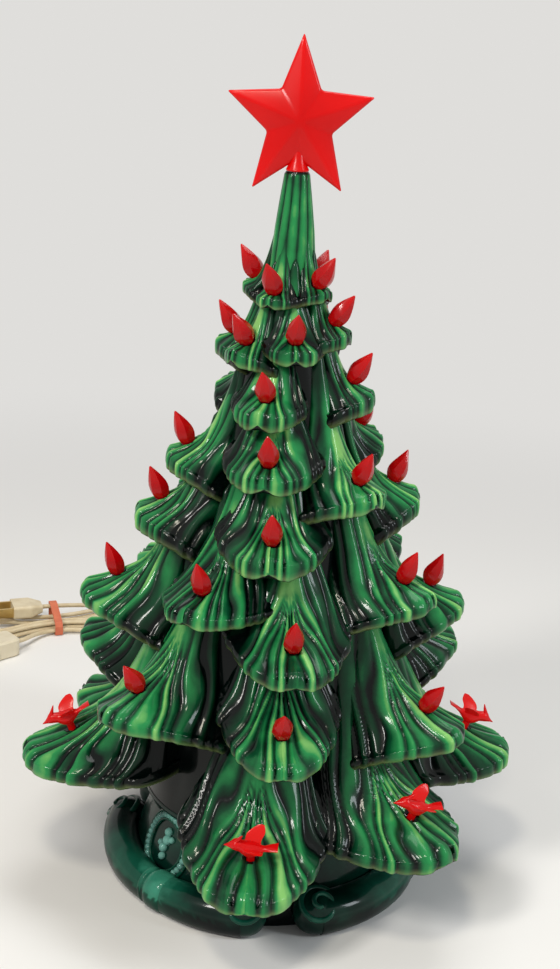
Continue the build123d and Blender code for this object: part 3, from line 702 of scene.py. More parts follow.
    def seat(self, name: str, tier: Tier, place: Triple, rank: int) -> Seat:
        """The seat of a branch's peg, as the solids have it."""
        angle, reach, tip = place
        station = self.top_station if rank < self.top_tiers else self.station
        turn, tilt = radians(angle), radians(tier.lean)
        axis = Vector((sin(turn) * sin(tilt), -cos(turn) * sin(tilt), cos(tilt)))
        radius, height = float(self.ridge(reach, station)), tip + float(self.rise(reach, station))
        origin = Vector((radius * sin(turn), -radius * cos(turn), height)) - axis
        return Seat(name, origin, axis, Vector((cos(turn), sin(turn), 0.0)))

    def trunk(self) -> Object:
        """Models the trunk: a fluted column over a hollow for the lamp, with the star's hole in its crown."""
        crown = TREE_LOW + TREE_TALL
        heights = np.concatenate([np.linspace(TREE_LOW, 285, 34), np.linspace(288, crown - 1.2, 24)])[:, None]
        turns = np.linspace(0, TURN, FINE)
        radius = self.core_radius(heights)
        upper = fade(255, 300, heights)
        wave = np.abs(np.sin(5.5 * turns + 0.004 * heights + 0.6 * np.sin(0.05 * heights))) ** 0.6
        crease = (0.55 + 0.5 * upper) * (wave - 0.7) * (0.6 + 0.03 * radius) * (1 - 0.6 * fade(330, 343, heights))
        outer = rings(radius + crease * fade(44, 60, heights), heights, turns)
        inside = [(5.0, crown), (2.85, crown), (2.85, 296.0)]
        inside += [(r * FOOT - self.wall, TREE_LOW + h * TREE_TALL) for r, h in reversed(CORE_SHARES[:9])]
        # Painted shade: the trunk is darker low down, under the branches, and inside its hollow.
        flute, depth = 0.2 + 0.5 * wave, (0.1 + 0.9 * upper) * np.ones(FINE)
        dark = np.full((len(inside), FINE), 0.3)
        layers = ((outer, revolve(inside, FINE)), (flute, dark), (depth, dark))
        points, flute, depth = [np.concatenate([front, back, front[:1]]) for front, back in layers]
        return sheet_over("tree_trunk", points, flute=flute, depth=depth, pale=0.0)

    def build(self) -> None:
        """Models the trunk and every tier, with a hole for each peg."""
        trunk = self.trunk()
        smooth(trunk, 50)
        self.pieces.append(trunk)
        birds = 0
        for rank, tier in enumerate(self.tiers()):
            branches = []
            for number, place in enumerate(tier.branches):
                bird = rank == BIRD_TIER or (rank, number) == RAISED_BIRD
                birds += bird
                name = f"bird_{birds}" if bird else f"bulb_{rank + 1}_{number + 1}"
                seat = self.seat(name, tier, place, rank)
                self.seats.append(seat)
                branch = self.branch(f"branch_{rank}_{number}", tier, place, 100 * rank + number)
                trim(branch, sheet_over("cutter", seat.placed(revolve(HOLE, 21))))
                branches.append(branch)
            piece = join(f"tree_tier_{rank + 1}", branches)
            smooth(piece, 75)
            self.pieces.append(piece)

    def dress(self, finishes: Finishes) -> None:
        """Glazes the casting and lets it stand for its solid."""
        for piece in self.pieces:
            dress(piece, finishes.tree)
            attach(piece, Body.TREE.value)
        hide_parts("tree_shell")


# Pegs and star


@dataclass
class PegBulb:
    """A pointed bulb with twisted facets on a short peg."""

    radius: float = 4.8
    tall: float = 16.5
    peg: float = 1.8
    peg_length: float = 8.0
    low: float = 0.3
    twist: float = 40.0
    facet: float = 0.7

    def build(self, seat: Seat) -> Object:
        """Models the bulb in its seat."""
        levels = np.array([0.0, 0.06, 0.14, 0.24, 0.34, 0.46, 0.58, 0.7, 0.82, 0.92, 0.98, 1.0])[:, None]
        girth = np.array([0.6, 0.76, 0.9, 0.99, 1.0, 0.92, 0.76, 0.58, 0.38, 0.2, 0.1, 0.0])[:, None]
        turns = np.linspace(0, TURN, 6 * 3 + 1)
        facet = cos(pi / 6) / np.cos((turns % (pi / 3)) - pi / 6)
        stem = revolve([(0, -self.peg_length), (self.peg, -self.peg_length), (self.peg, self.low)], len(turns))
        radius = self.radius * girth * (1 - self.facet + self.facet * facet)
        flame = rings(radius, self.low + levels * self.tall, turns + radians(self.twist) * levels)
        pale = np.concatenate([np.zeros((3, 1)), 1 - girth])
        piece = sheet_over(f"{seat.name}_look", seat.placed(np.concatenate([stem, flame])), pale=pale)
        smooth(piece, 24)
        return piece


# Station, lift, half width and half height along a bird, from its tail to its beak
BIRD_BODY = (
    (-12.0, 2.6, 2.6, 0.35), (-9.0, 2.0, 2.2, 0.6), (-6.0, 1.0, 1.5, 1.1), (-4.0, 0.4, 2.3, 2.0),
    (-1.5, 0.0, 3.5, 3.4), (1.0, 0.1, 3.8, 3.7), (3.2, 1.0, 3.2, 3.2), (4.8, 2.2, 2.7, 2.7), (6.2, 2.8, 2.8, 2.7),
    (7.6, 2.8, 2.4, 2.3), (8.8, 2.4, 1.6, 1.5), (10.0, 2.1, 0.9, 0.8), (11.8, 1.8, 0.15, 0.15),
)
BIRD_CREST = (
    (3.6, 8.8, 0.2, 0.2), (4.2, 7.8, 0.6, 0.8), (5.0, 6.4, 0.9, 1.3), (6.2, 5.0, 1.1, 1.4), (7.4, 4.4, 0.6, 0.8),
)
BIRD_TURNS = (-90.0, -90.0, 180.0, 150.0, -90.0, -90.0, 180.0, -90.0)


@dataclass
class PegBird:
    """A small crested bird with raised wings on a peg."""

    turn: float
    girth: float = 4.2
    stand: float = 2.0
    peg: float = 1.8
    peg_length: float = 8.0

    def loft(self, name: str, rows: tuple[tuple[float, float, float, float], ...]) -> Object:
        """Models a round form along the bird from rows of station, lift, half width and half height."""
        rows = ((*rows[0][:2], 0.0, 0.0), *rows, (*rows[-1][:2], 0.0, 0.0))
        station, lift, wide, tall = np.array(rows).T[:, :, None]
        turns = np.linspace(0, TURN, 17)
        return sheet_over(name, spots(station, wide * np.cos(turns), lift + tall * np.sin(turns)), pale=0.25)

    def wing(self, hand: int) -> Object:
        """Models one raised wing as a curved blade with feathered edge."""
        span = np.linspace(0, 1, 9)[:, None]
        turns = np.linspace(0, TURN, 21)
        chord = 3.9 * np.sqrt(1 - 0.86 * span**3) * (1 - 0.08 * np.sin(9 * span))
        thick = 0.75 * (1 - 0.6 * span) * np.sin(turns)
        points = spots(
            -0.5 - 3.4 * span**1.4 + chord * np.cos(turns),
            hand * (1.8 + 6.4 * span + 0.5 * thick),
            1.6 + 5.8 * np.sin(1.1 * span) + thick,
        )
        return sheet_over("wing", capped(points), pale=0.7)

    def build(self, seat: Seat) -> Object:
        """Models the bird on its seat, facing its own way."""
        high = self.stand + self.girth
        low, top = -self.peg_length - high, -1.0
        stem = revolve([(0, low), (self.peg, low), (self.peg, top), (0, top)], 13)
        parts = [self.loft("body", BIRD_BODY), self.loft("crest", BIRD_CREST), self.wing(1), self.wing(-1)]
        piece = join(f"{seat.name}_look", [*parts, sheet_over("peg", stem, pale=0.0)])
        frame = seat.frame() @ Matrix.Translation((0, 0, high)) @ Matrix.Rotation(radians(self.turn), 4, "Z")
        piece.data.transform(Matrix.Scale(MM, 4) @ frame @ Matrix.Scale(1 / MM, 4))
        smooth(piece, 45)
        return piece


@dataclass
class PegSet:
    """Every bulb and bird in its branch."""

    seats: list[Seat]
    pieces: list[tuple[Object, str]] = field(default_factory=list)

    def build(self) -> None:
        """Models a bulb or a bird for each seat."""
        turns = iter(BIRD_TURNS)
        for seat in self.seats:
            peg = PegBird(next(turns)) if seat.name.startswith("bird") else PegBulb()
            self.pieces.append((peg.build(seat), seat.name))

    def dress(self, finishes: Finishes) -> None:
        """Finishes each peg in clear red and lets it stand for its solid."""
        for piece, name in self.pieces:
            bird = name.startswith("bird")
            dress(piece, finishes.bird if bird else finishes.bulb)
            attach(piece, name)
            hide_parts(name)


@dataclass
class Star:
    """The faceted star on its collar and peg."""

    radius: float = 34.0
    waist: float = 15.0
    stretch: float = 1.09
    edge: float = 3.0
    thick: float = 13.0
    soft: float = 1.1
    crown: float = 343.0
    stalk: float = 5.2
    peg_length: float = 16.0
    piece: Object | None = None

    def arms(self, middle: float) -> Object:
        """Models the star's arms about a height, from a ten-sided prism with softened edges."""
        deselect()
        bpy.ops.mesh.primitive_cylinder_add(vertices=10, radius=1.0, depth=2.0, end_fill_type="TRIFAN")
        arms = bpy.context.object
        for vertex in arms.data.vertices:
            side = -1 if vertex.co.z > 0 else 1
            if vertex.co.xy.length < 0.01:
                vertex.co = Vector((0, side * self.thick / 2, middle)) * MM
                continue
            corner = round((atan2(vertex.co.y, vertex.co.x) - pi / 2) / (pi / 5))
            spoke = self.waist if corner % 2 else self.radius
            turn = pi / 2 + corner * pi / 5
            place = (spoke * cos(turn), side * self.edge / 2, middle + self.stretch * spoke * sin(turn))
            vertex.co = Vector(place) * MM
        face_out(arms)
        soften = arms.modifiers.new("soften", "BEVEL")
        soften.width = self.soft * MM
        soften.segments = 3
        soften.limit_method = "ANGLE"
        soften.angle_limit = radians(12)
        bpy.ops.object.modifier_apply(modifier=soften.name)
        return arms

    def build(self) -> None:
        """Models the star with its collar and peg, paler towards its points."""
        low = self.crown + 0.3
        middle = low + self.stalk + self.stretch * self.waist
        foot, top = self.crown - self.peg_length, self.crown + 9.0
        profile = [
            (0, foot), (2.3, foot), (2.5, foot + 0.6), (2.5, low), (5.0, low), (5.2, self.crown + 0.8),
            (3.4, self.crown + 4.5), (2.6, top), (0, top),
        ]
        arms = self.arms(middle)
        self.piece = join("star_look", [arms, sheet_over("collar", revolve(profile, 33))])
        place = np.zeros(len(self.piece.data.vertices) * 3, np.float32)
        self.piece.data.vertices.foreach_get("co", place)
        place = place.reshape(-1, 3) / MM
        out = np.hypot(place[:, 0], place[:, 2] - middle)
        pale = np.clip(0.15 + 0.9 * (out / 36.0) ** 2, 0, 1)
        layer = self.piece.data.attributes.new("pale", "FLOAT", "POINT")
        layer.data.foreach_set("value", pale.astype(np.float32))
        smooth(self.piece, 22)

    def dress(self, finishes: Finishes) -> None:
        """Finishes the star in clear red."""
        dress(self.piece, finishes.star)
        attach(self.piece, Body.STAR.value)
        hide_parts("star")


# Base

# Radius and height round the foot's section: inside and sole, outer wall, and spigot
FOOT_PROFILE = (
    (12.5, 44.0), (12.5, 39.0), (51.5, 39.0), (51.5, 35.0), (60.1, 8.8), (60.1, 0.0), (65.6, 0.0), (65.6, 8.4),
    (65.1, 8.8), (64.6, 11.0), (63.4, 15.0), (61.6, 20.0), (59.8, 25.0), (58.1, 30.0), (56.9, 34.0), (56.6, 36.5),
    (57.6, 39.0), (59.6, 40.6), (60.4, 41.8), (60.5, 43.2), (60.2, 44.0),
    (55.7, 44.0), (55.7, 49.6), (55.3, 50.0), (52.6, 50.0), (52.2, 49.6), (52.2, 44.0), (12.5, 44.0),
)
# Height and radius of the wall that the frames lie on
WALL_HEIGHTS = (8.8, 15.0, 20.0, 25.0, 30.0, 36.5)
WALL_RADII = (65.1, 63.4, 61.6, 59.8, 58.1, 56.6)
# Place across and up, and girth, of the sprig's beads
SPRIG = ((0.0, 6.0, 2.2), (0.8, 2.4, 2.6), (-0.6, -1.6, 2.4), (0.3, -5.4, 2.0), (3.6, 3.4, 1.6), (-3.6, -0.4, 1.6))


@dataclass
class ScrollBase:
    """The scroll base: a hollow foot, a rolled rim in three lobes, volutes, bands and beaded frames."""

    lobes: int = 3
    notch: float = 8.0
    cord_gap: float = 185.0
    rim: float = 71.5
    roll: float = 9.2
    roll_height: float = 9.2
    clear: float = 0.2
    scroll: float = 10.8
    scroll_turn: float = 14.0
    band_turn: float = 68.0
    frame_turn: float = 61.0
    frame_height: float = 24.0
    frame_radius: float = 60.0
    painted_shade_below: float = 12.0
    piece: Object | None = None

    def around(self, angle: Number, radius: Number, height: Number) -> np.ndarray:
        """Points at angles from the front, in degrees."""
        turn = np.radians(angle)
        return spots(radius * np.sin(turn), -radius * np.cos(turn), height)

    def lobe_turn(self) -> float:
        """The angle from one notch to the next."""
        return 360.0 / self.lobes

    def foot(self) -> Object:
        """Models the turned foot as one closed shell with the socket's hole."""
        heights = np.array([height for _, height in FOOT_PROFILE])[:, None]
        # Painted shade: below this height the wall is near black, for the channel behind the roll.
        flute = np.where(heights < self.painted_shade_below, 0.05, 0.5)
        depth = np.where(heights < self.painted_shade_below, 0.0, 0.6)
        return sheet_over("foot", revolve(FOOT_PROFILE, FINE), flute=flute, depth=depth, pale=0.0)

    def roll_run(self, name: str, angles: np.ndarray, girths: np.ndarray, shades: np.ndarray) -> Object:
        """Models a run of the rim's roll: round above, and standing flat on the floor.

        Args:
            name: Name of the run.
            angles: Angles from the front along the run, in degrees.
            girths: Radius of the roll at each angle.
            shades: Lightness of the glaze at each angle.

        Returns:
            The closed run.
        """
        turns = np.linspace(0, TURN, 33)
        sides, ups = np.cos(turns), np.sin(turns)
        under = ups < 0
        sides = np.where(under, np.sign(sides) * np.abs(sides) ** 0.5, sides)
        girth = girths[:, None]
        rise = np.where(under, self.roll_height - self.clear, girth) * ups + self.roll_height
        points = capped(self.around(angles[:, None], self.rim + girth * sides, rise))
        flute = np.concatenate([shades[:1], shades, shades[-1:]])[:, None]
        # Painted shade: the roll is darker underneath and on its inner side, towards the wall.
        flute = flute * np.where(under, 0.6, 1.0) * (1 - 0.45 * fade(0.2, 0.9, -np.cos(turns)))
        return sheet_over(name, points, flute=flute, depth=0.9, pale=0.0)

    def volute(self, angle: float, hand: int) -> list[Object]:
        """Models the scroll that ends a roll: a rounded boss with a spiral on its upper front.

        Args:
            angle: Angle of the scroll from the front, in degrees.
            hand: 1 where the roll goes on to larger angles, else -1.

        Returns:
            The boss and its spiral.
        """
        heart = self.around(angle, self.rim - 1.5, self.roll_height)
        size, foot = self.scroll, self.roll_height - self.clear
        low = [(size * cos(v) ** 0.5, foot * sin(v)) for v in np.linspace(-0.499 * pi, -0.06 * pi, 7)]
        dome = [(size * cos(v), size * sin(v)) for v in np.linspace(0, pi / 2, 9)]
        rows = revolve([(0.0, -foot), *low, *dome], 41) + heart
        boss = sheet_over("volute_boss", rows, flute=0.45, depth=0.8, pale=0.0)
        out = self.around(angle, 1.0, 0.0)
        along = hand * self.around(angle + 90.0, 1.0, 0.0)
        axis, across = 0.6 * out + 0.8 * UP, 0.6 * UP - 0.8 * out
        share = np.linspace(0, 1, 70)[:, None]
        swirl = TURN * 1.75 * share
        polar = np.radians(68.0 - 60.0 * share)
        section = along * np.cos(swirl) + across * np.sin(swirl)
        path = heart + size * (axis * np.cos(polar) + section * np.sin(polar))
        rows = tube_points(path, 1.5 - 0.35 * share[:, 0], 12)
        return [boss, sheet_over("volute", rows, flute=0.72, depth=0.9, pale=0.0)]

    def on_wall(self, middle: float, across: Number, up: Number, proud: float) -> np.ndarray:
        """Points on the foot's wall about a frame's middle, or proud of it."""
        height = self.frame_height + up
        radius = np.interp(height, WALL_HEIGHTS, WALL_RADII) + proud
        return self.around(middle + np.degrees(across / self.frame_radius), radius, height + 0.3 * proud)

    def frame(self, middle: float) -> list[Object]:
        """Models an oval frame of beads round a small sprig on the foot's wall."""
        made = []
        turns = np.linspace(0, TURN, 61)
        for half_x, half_z, girth in ((16.2, 16.0, 0.9), (11.8, 11.8, 0.7)):
            path = self.on_wall(middle, half_x * np.cos(turns), half_z * np.sin(turns), 0.5)
            made.append(sheet_over("oval", tube_points(path, girth, 8)[1:-1], flute=0.7, depth=0.8, pale=0.0))
        beads = [(14.0 * cos(t), 13.9 * sin(t), 1.7) for t in np.linspace(0, TURN, 35)[:-1]]
        for across, up, girth in (*beads, *SPRIG):
            ball = [(girth * cos(v), girth * sin(v)) for v in np.linspace(-pi / 2, pi / 2, 7)]
            rows = revolve(ball, 11) + self.on_wall(middle, across, up, 0.4)
            made.append(sheet_over("bead", rows, flute=0.9, depth=1.0, pale=0.6))
        return made

    def lobe(self, start: float) -> list[Object]:
        """Models one lobe's rolls, bands, volutes and beaded frame.

        Args:
            start: Angle of the notch before the lobe, in degrees.

        Returns:
            The lobe's pieces.
        """
        made = []
        scrolls = (self.scroll_turn, self.lobe_turn() - self.scroll_turn)
        share = np.linspace(0, 1, 30)
        girth = self.roll * (1.04 - 0.24 * share**2)
        shade = 0.42 + 0.42 * fade(0.15, 0.95, share)
        for scroll in scrolls:
            made.append(self.roll_run("roll", start + scroll + (self.band_turn - scroll) * share, girth, shade))
        share = np.linspace(-1, 1, 9)
        for middle, half, swell in ((-3.2, 1.2, 0.03), (3.0, 4.4, 0.14)):
            bulge = self.roll * (0.84 + swell) * np.sqrt(np.clip(1 - 0.3 * share**4, 0, 1))
            angles = start + self.band_turn + middle + half * share
            made.append(self.roll_run("band", angles, bulge, np.full(9, 0.9)))
        for scroll, hand in zip(scrolls, (1, -1)):
            made.extend(self.volute(start + scroll, hand))
        return made + self.frame(start + self.frame_turn)

    def build(self) -> None:
        """Models the foot and its lobes, with a notch for the cord at the back."""
        foot = self.foot()
        deselect()
        bpy.ops.mesh.primitive_cube_add(size=1.0)
        cutter = bpy.context.object
        place = Matrix.Translation(Vector(self.around(self.cord_gap, 70.0, 3.5)) * MM)
        slab = Matrix.Diagonal((7.0 * MM, 40.0 * MM, 11.0 * MM, 1.0))
        cutter.data.transform(place @ Matrix.Rotation(radians(self.cord_gap), 4, "Z") @ slab)
        trim(foot, cutter)
        pieces = [foot]
        for number in range(self.lobes):
            pieces.extend(self.lobe(self.notch + self.lobe_turn() * number))
        self.piece = join("base_look", pieces)
        smooth(self.piece, 42)

    def dress(self, finishes: Finishes) -> None:
        """Glazes the base in its darker green."""
        dress(self.piece, finishes.base)
        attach(self.piece, Body.BASE.value)
        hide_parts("base")


# Lamp and cord set

# Radius and height of the lamp's flame
FLAME_SHARES = (
    (0.0, 0.0), (0.527, 0.0), (0.6, 0.03), (0.74, 0.09), (0.88, 0.17), (0.97, 0.26), (1.0, 0.36), (0.97, 0.46),
    (0.89, 0.56), (0.77, 0.66), (0.62, 0.76), (0.45, 0.85), (0.27, 0.93), (0.12, 0.98), (0.0, 1.0),
)


@dataclass
class Lamp:
    """The small flame-shaped lamp in its socket."""

    cap_top: float = 47.1
    tall: float = 39.0
    radius: float = 11.0
    glass: Object | None = None

    def build(self) -> None:
        """Models the lamp's glass as a smooth flame."""
        profile = [(r * self.radius, self.cap_top + h * self.tall) for r, h in FLAME_SHARES]
        self.glass = sheet_over("lamp_glass_look", revolve(profile, 41))
        smooth(self.glass, 50)

    def dress(self, finishes: Finishes, nodes: dict[str, Object]) -> None:
        """Finishes the glass, the cap and the socket."""
        dress(self.glass, finishes.glass)
        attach(self.glass, Body.LAMP.value)
        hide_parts("lamp_glass")
        dress(nodes["lamp_cap"], finishes.brass)
        dress(nodes["socket_sleeve"], finishes.brass)
        dress(nodes["socket_body"], finishes.socket)


@dataclass
class CordSet:
    """The cream cord: its lead to the switch, and the wound hank with its tie and plug."""

    diameter: float = 3.0
    pitch: float = 3.6
    waist_pitch: float = 3.8
    half_run: float = 52.0
    inner: float = 10.0
    loops: int = 2
    angle: float = 20.0
    place: tuple[float, float] = (-148.0, 265.0)
    floor: float = 1.6
    low: float = 3.1
    switch_near: tuple[float, float] = (-33.0, -29.0)
    switch_angle: float = 23.0
    switch_long: float = 46.0
    switch_mid: float = 6.0
    switch_lead: float = 8.0
    plug_rear: float = -8.0
    plug_mid: float = 13.0
    steps: int = 14
    plug_steps: int = 16
    lead: Object | None = None
    hank: Object | None = None
    lead_route: list[Vector] = field(default_factory=list)
    hank_route: list[Vector] = field(default_factory=list)

    def at(self, along: float, across: float, height: float) -> Triple:
        """A point given along and across the hank."""
        turn = radians(self.angle)
        x = self.place[0] + along * cos(turn) - across * sin(turn)
        y = self.place[1] + along * sin(turn) + across * cos(turn)
        return (x, y, height)

    def at_switch(self, along: float) -> Triple:
        """A point on the switch's axis, at a distance before its near end."""
        turn = radians(self.switch_angle)
        near = self.switch_near
        return self.at(near[0] + along * cos(turn), near[1] + along * sin(turn), self.switch_mid)

    def lead_points(self) -> list[Triple]:
        """The lead's route from the socket to the switch."""
        floor = self.floor
        return [
            (0.0, 0.0, 20.0), (0.0, 0.0, 10.5), (-0.6, 6.5, 3.6), (-1.6, 18.0, floor), (-4.2, 39.0, floor),
            (-5.4, 60.0, floor), (-6.2, 84.0, floor), (-8.5, 112.0, floor), (-9.0, 142.0, floor),
            (-12.0, 172.0, floor), (-19.0, 203.0, floor), (-32.0, 232.0, floor), (-52.0, 254.0, floor),
            self.at(70.0, -22.0, floor), self.at(48.0, -20.0, floor), self.at(24.0, -14.0, 2.2),
            self.at(7.0, -9.7, self.low), self.at(-7.0, -9.7, self.low), self.at(-17.0, -16.0, 4.4),
            self.at_switch(self.switch_lead), self.at_switch(0.0),
        ]

    def link_points(self) -> list[Triple]:
        """The route from the switch round to the hank's start."""
        start = self.inner + (2 * self.loops - 1) * self.pitch / 2
        return [
            self.at_switch(-self.switch_long), self.at_switch(-self.switch_long - self.switch_lead),
            self.at(-93.0, -49.5, 5.0), self.at(-100.5, -41.0, 3.6), self.at(-100.0, -29.0, 2.6),
            self.at(-89.0, -19.5, 2.6), self.at(-70.0, -start, self.low), self.at(-self.half_run, -start, self.low),
        ]

    def rounded(self, points: list[Triple]) -> list[Vector]:
        """A route's straight runs joined by tangent arcs, as closely spaced points."""
        corners = [Vector(point) for point in points]
        route = [corners[0]]
        for before, corner, after in zip(corners, corners[1:], corners[2:]):
            inward, outward = corner - before, after - corner
            ahead, leaving = inward.normalized(), outward.normalized()
            reach = 0.45 * min(inward.length, outward.length)
            half = ahead.angle(leaving) / 2
            start, end = corner - ahead * reach, corner + leaving * reach
            if half < 0.002:
                route.extend((start, end))
                continue
            radius = reach / np.tan(half)
            aside = (leaving - ahead * leaving.dot(ahead)).normalized()
            steps = max(4, int(half / 0.06))
            for step in range(steps + 1):
                turn = 2 * half * step / steps
                route.append(start + (ahead * sin(turn) + aside * (1 - cos(turn))) * radius)
        route.append(corners[-1])
        return route

    def run(self, start: Triple, end: Triple, steps: int) -> list[Vector]:
        """One run of the hank from end to waist: two equal arcs that leave and arrive along it."""
        long, aside, rise = end[0] - start[0], end[1] - start[1], end[2] - start[2]
        span, shift = abs(long), sqrt(aside**2 + rise**2)
        made = []
        for share in (step / steps for step in range(steps)):
            lateral = 0.0
            if shift > 1e-6:
                radius = ((span / 2) ** 2 + (shift / 2) ** 2) / shift
                bow = radius - sqrt(radius**2 - (span * min(share, 1 - share)) ** 2)
                lateral = (bow if share <= 0.5 else shift - bow) / shift
            place = self.at(start[0] + share * long, start[1] + lateral * aside, start[2] + lateral * rise)
            made.append(Vector(place))
        return made

    def hank_points(self) -> list[Vector]:
        """The hank's route: long loops in two layers, drawn in at the tie, to the plug."""
        runs, climb = 4 * self.loops, 2 * self.loops - 1
        ends = [self.inner + abs(k - climb) * self.pitch / 2 for k in range(runs)]
        waists = [(abs(k - climb) // 2 + 0.5) * self.waist_pitch for k in range(runs)]
        high = self.low + self.pitch
        route: list[Vector] = []
        for k in range(runs):
            hand = 1 if k % 2 else -1
            z0 = self.low if k <= climb else high
            z1 = high if k >= climb else self.low
            begin = (hand * self.half_run, hand * ends[k], z0)
            if k == runs - 1:
                finish = (self.plug_rear, hand * waists[k], self.plug_mid)
                route.extend(self.run(begin, finish, self.plug_steps))
                route.append(Vector(self.at(*finish)))
                break
            waist = (0.0, hand * waists[k], z0)
            finish = (-hand * self.half_run, hand * ends[k], z1)
            route.extend(self.run(begin, waist, self.steps))
            route.extend(self.run(waist, finish, self.steps))
            radius = (ends[k] + ends[k + 1]) / 2
            middle = hand * (ends[k] - ends[k + 1]) / 2
            for turn in (pi * step / self.steps for step in range(self.steps)):
                along = -hand * self.half_run - hand * radius * sin(turn)
                route.append(Vector(self.at(along, middle + hand * radius * cos(turn), z1)))
        return route

    def curve(self, name: str, route: list[Vector]) -> Object:
        """A round cord along a route, as one smooth spline."""
        deselect()
        data = bpy.data.curves.new(name, "CURVE")
        data.dimensions = "3D"
        data.bevel_depth = self.diameter / 2 * MM
        data.bevel_resolution = 3
        data.use_fill_caps = True
        data.resolution_u = 3
        spline = data.splines.new("NURBS")
        spline.points.add(len(route) - 1)
        for point, place in zip(spline.points, route):
            point.co = (*(place * MM), 1.0)
        spline.order_u = 3
        spline.use_endpoint_u = True
        piece = bpy.data.objects.new(name, data)
        bpy.context.scene.collection.objects.link(piece)
        return piece

    def length(self, route: list[Vector]) -> float:
        """Length of a route, in metres."""
        return sum((b - a).length for a, b in zip(route, route[1:])) * MM

    def build(self) -> None:
        """Lays the two stretches of cord."""
        self.lead_route = self.rounded(self.lead_points())
        self.hank_route = self.rounded(self.link_points())[:-1] + self.hank_points()
        self.lead = self.curve("cord_lead_look", self.lead_route)
        self.hank = self.curve("cord_hank_look", self.hank_route)

    def dress(self, finishes: Finishes, nodes: dict[str, Object]) -> None:
        """Finishes the cord and what is on it, and hides the cord's solids."""
        for piece in (self.lead, self.hank):
            dress(piece, finishes.cord)
            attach(piece, Body.BASE.value)
        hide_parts("cord_lead")
        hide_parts("cord_link", "cord_hank")
        dress(nodes["tie_band"], finishes.tie)
        dress(nodes["plug_body"], finishes.plug)
        dress(nodes["plug_blades"], finishes.brass)
        for name in ("switch_bottom", "switch_top"):
            dress(nodes[name], finishes.switch)
        dress(nodes["switch_wheel"], finishes.switch)


# Studio


@dataclass(frozen=True)
class Softbox:
    """A soft rectangular light that faces the tree."""

    name: str
    place: Triple
    size: tuple[float, float]
    power: float
    colour: Triple

    def build(self, aim: Vector) -> None:
        """Sets up the light."""
        data = bpy.data.lights.new(self.name, "AREA")
        data.shape = "RECTANGLE"
        data.size, data.size_y = self.size
        data.energy = self.power
        data.color = self.colour
        lamp = bpy.data.objects.new(self.name, data)
        lamp.location = self.place
        lamp.rotation_euler = (aim - Vector(self.place)).to_track_quat("-Z", "Y").to_euler()
        bpy.context.scene.collection.objects.link(lamp)


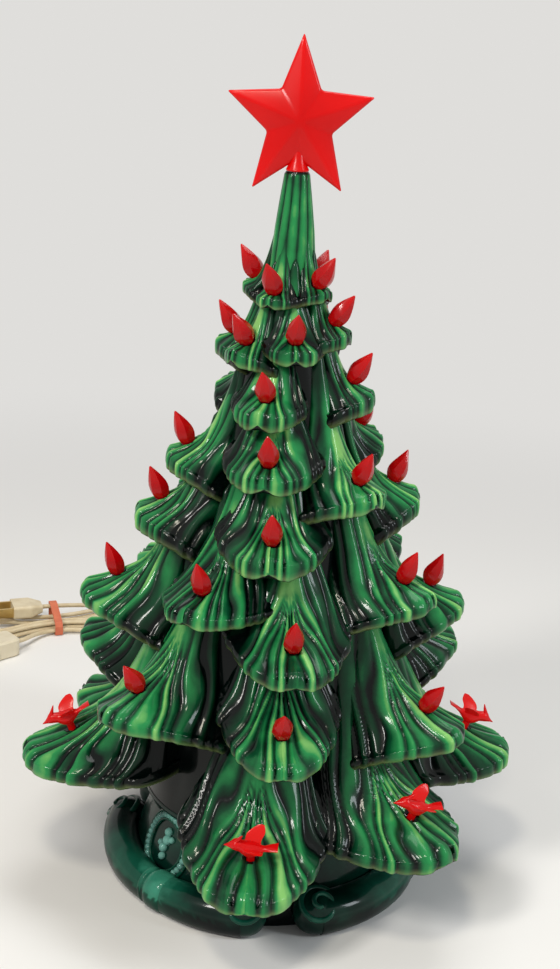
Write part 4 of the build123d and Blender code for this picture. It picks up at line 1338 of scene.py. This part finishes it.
@dataclass
class Studio:
    """The camera at the photograph's angle, soft lights, a pale floor and a pale backdrop."""

    eye: Triple = (-0.0006, -0.673, 0.416)
    pitch: float = 18.0
    roll: float = 2.94
    focal: float = 1500.0
    frame_tall: float = 969.0
    sensor: float = 36.0
    aim: Triple = (0.0, 0.0, 0.17)
    sky: Triple = (0.95, 0.97, 1.0)
    sky_light: float = 0.28
    lights: tuple[Softbox, ...] = (
        Softbox("key", (-0.7, -0.85, 1.05), (0.22, 0.28), 10.0, (1.0, 0.97, 0.92)),
        Softbox("side", (0.95, -0.4, 0.7), (0.2, 0.5), 4.8, (0.88, 0.95, 1.0)),
        Softbox("above", (0.05, 0.3, 1.25), (0.6, 0.5), 4.6, (1.0, 1.0, 1.0)),
        Softbox("front", (-0.2, -0.62, 1.2), (0.18, 0.18), 4.0, (1.0, 0.93, 0.78)),
    )

    def camera(self) -> None:
        """Places the camera."""
        pitch, roll = radians(self.pitch), radians(self.roll)
        ahead = Vector((0, cos(pitch), -sin(pitch)))
        up = Vector((0, sin(pitch), cos(pitch)))
        right = Vector((1, 0, 0))
        tilted_right = right * cos(roll) + up * sin(roll)
        tilted_up = up * cos(roll) - right * sin(roll)
        data = bpy.data.cameras.new("camera")
        data.sensor_fit = "VERTICAL"
        data.sensor_height = self.sensor
        data.lens = self.sensor * self.focal / self.frame_tall
        data.clip_start = 0.01
        data.clip_end = 50.0
        camera = bpy.data.objects.new("camera", data)
        rotation = Matrix((tilted_right, tilted_up, -ahead)).transposed().to_4x4()
        camera.matrix_world = Matrix.Translation(self.eye) @ rotation
        bpy.context.scene.collection.objects.link(camera)
        bpy.context.scene.camera = camera

    def floor(self) -> None:
        """Lays the pale floor, which fades into the backdrop."""
        deselect()
        bpy.ops.mesh.primitive_plane_add(size=8.0, location=(0, 0, 0))
        floor = bpy.context.object
        floor.name = "floor"
        shader = Shader("floor_pale_cloth")
        colour = shader.ramp(shader.noise(1.4), [(0.2, (0.8, 0.785, 0.76)), (0.8, (0.84, 0.825, 0.8))])
        floor.data.materials.append(shader.finish(Base_Color=colour, Roughness=0.9))
        away = shader.node("ShaderNodeVectorMath", operation="LENGTH")
        shader.link(shader.node("ShaderNodeTexCoord").outputs["Object"], away.inputs[0])
        far = shader.node("ShaderNodeMapRange", interpolation_type="SMOOTHSTEP")
        for key, value in (("Value", away.outputs["Value"]), ("From Min", 0.3), ("From Max", 0.95)):
            shader.feed(far.inputs[key], value)
        glow = shader.node("ShaderNodeEmission")
        shader.feed(glow.inputs["Color"], BACKDROP)
        share = shader.math("MULTIPLY", far.outputs["Result"], shader.seen())
        surface = shader.blend(share, shader.surface.outputs[0], glow.outputs[0])
        shader.link(surface, shader.tree.nodes["Material Output"].inputs["Surface"])

    def world(self) -> None:
        """Sets the pale backdrop, also seen in a gloss and through clear pieces, and dimmer light around."""
        world = bpy.data.worlds.new("studio")
        bpy.context.scene.world = world
        world.use_nodes = True
        nodes = Nodes(world.node_tree)
        nodes.tree.nodes.clear()
        shades = []
        for colour, strength in ((self.sky, self.sky_light), (BACKDROP, 1.0)):
            shade = nodes.node("ShaderNodeBackground")
            nodes.feed(shade.inputs["Color"], colour)
            nodes.feed(shade.inputs["Strength"], strength)
            shades.append(shade.outputs[0])
        out = nodes.node("ShaderNodeOutputWorld")
        nodes.link(nodes.blend(nodes.seen(), *shades), out.inputs["Surface"])

    def build(self) -> None:
        """Sets up the whole studio."""
        bpy.context.scene.view_settings.view_transform = "Standard"
        self.camera()
        self.floor()
        self.world()
        for light in self.lights:
            light.build(Vector(self.aim))


def main() -> None:
    """Builds and dresses every sub-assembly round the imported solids."""
    logging.basicConfig(level=logging.INFO, format="%(name)s: %(message)s")
    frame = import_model()
    nodes = frame["nodes"]
    Studio().build()
    finishes = Finishes()
    cords = CordSet()
    cords.build()
    cords.dress(finishes, nodes)
    for piece, route in ((cords.lead, cords.lead_route), (cords.hank, cords.hank_route)):
        log.info("%s: %.3f m", piece.name, cords.length(route))
    tree = TreeCasting()
    tree.build()
    tree.dress(finishes)
    pegs = PegSet(tree.seats)
    pegs.build()
    pegs.dress(finishes)
    star, base, lamp = Star(), ScrollBase(), Lamp()
    for part in (star, base):
        part.build()
        part.dress(finishes)
    lamp.build()
    lamp.dress(finishes, nodes)
    for piece in (*tree.pieces, *(piece for piece, _ in pegs.pieces), star.piece, base.piece, lamp.glass):
        log.info("%s: %d faces", piece.name, len(piece.data.polygons))


if __name__ == "__main__":
    main()
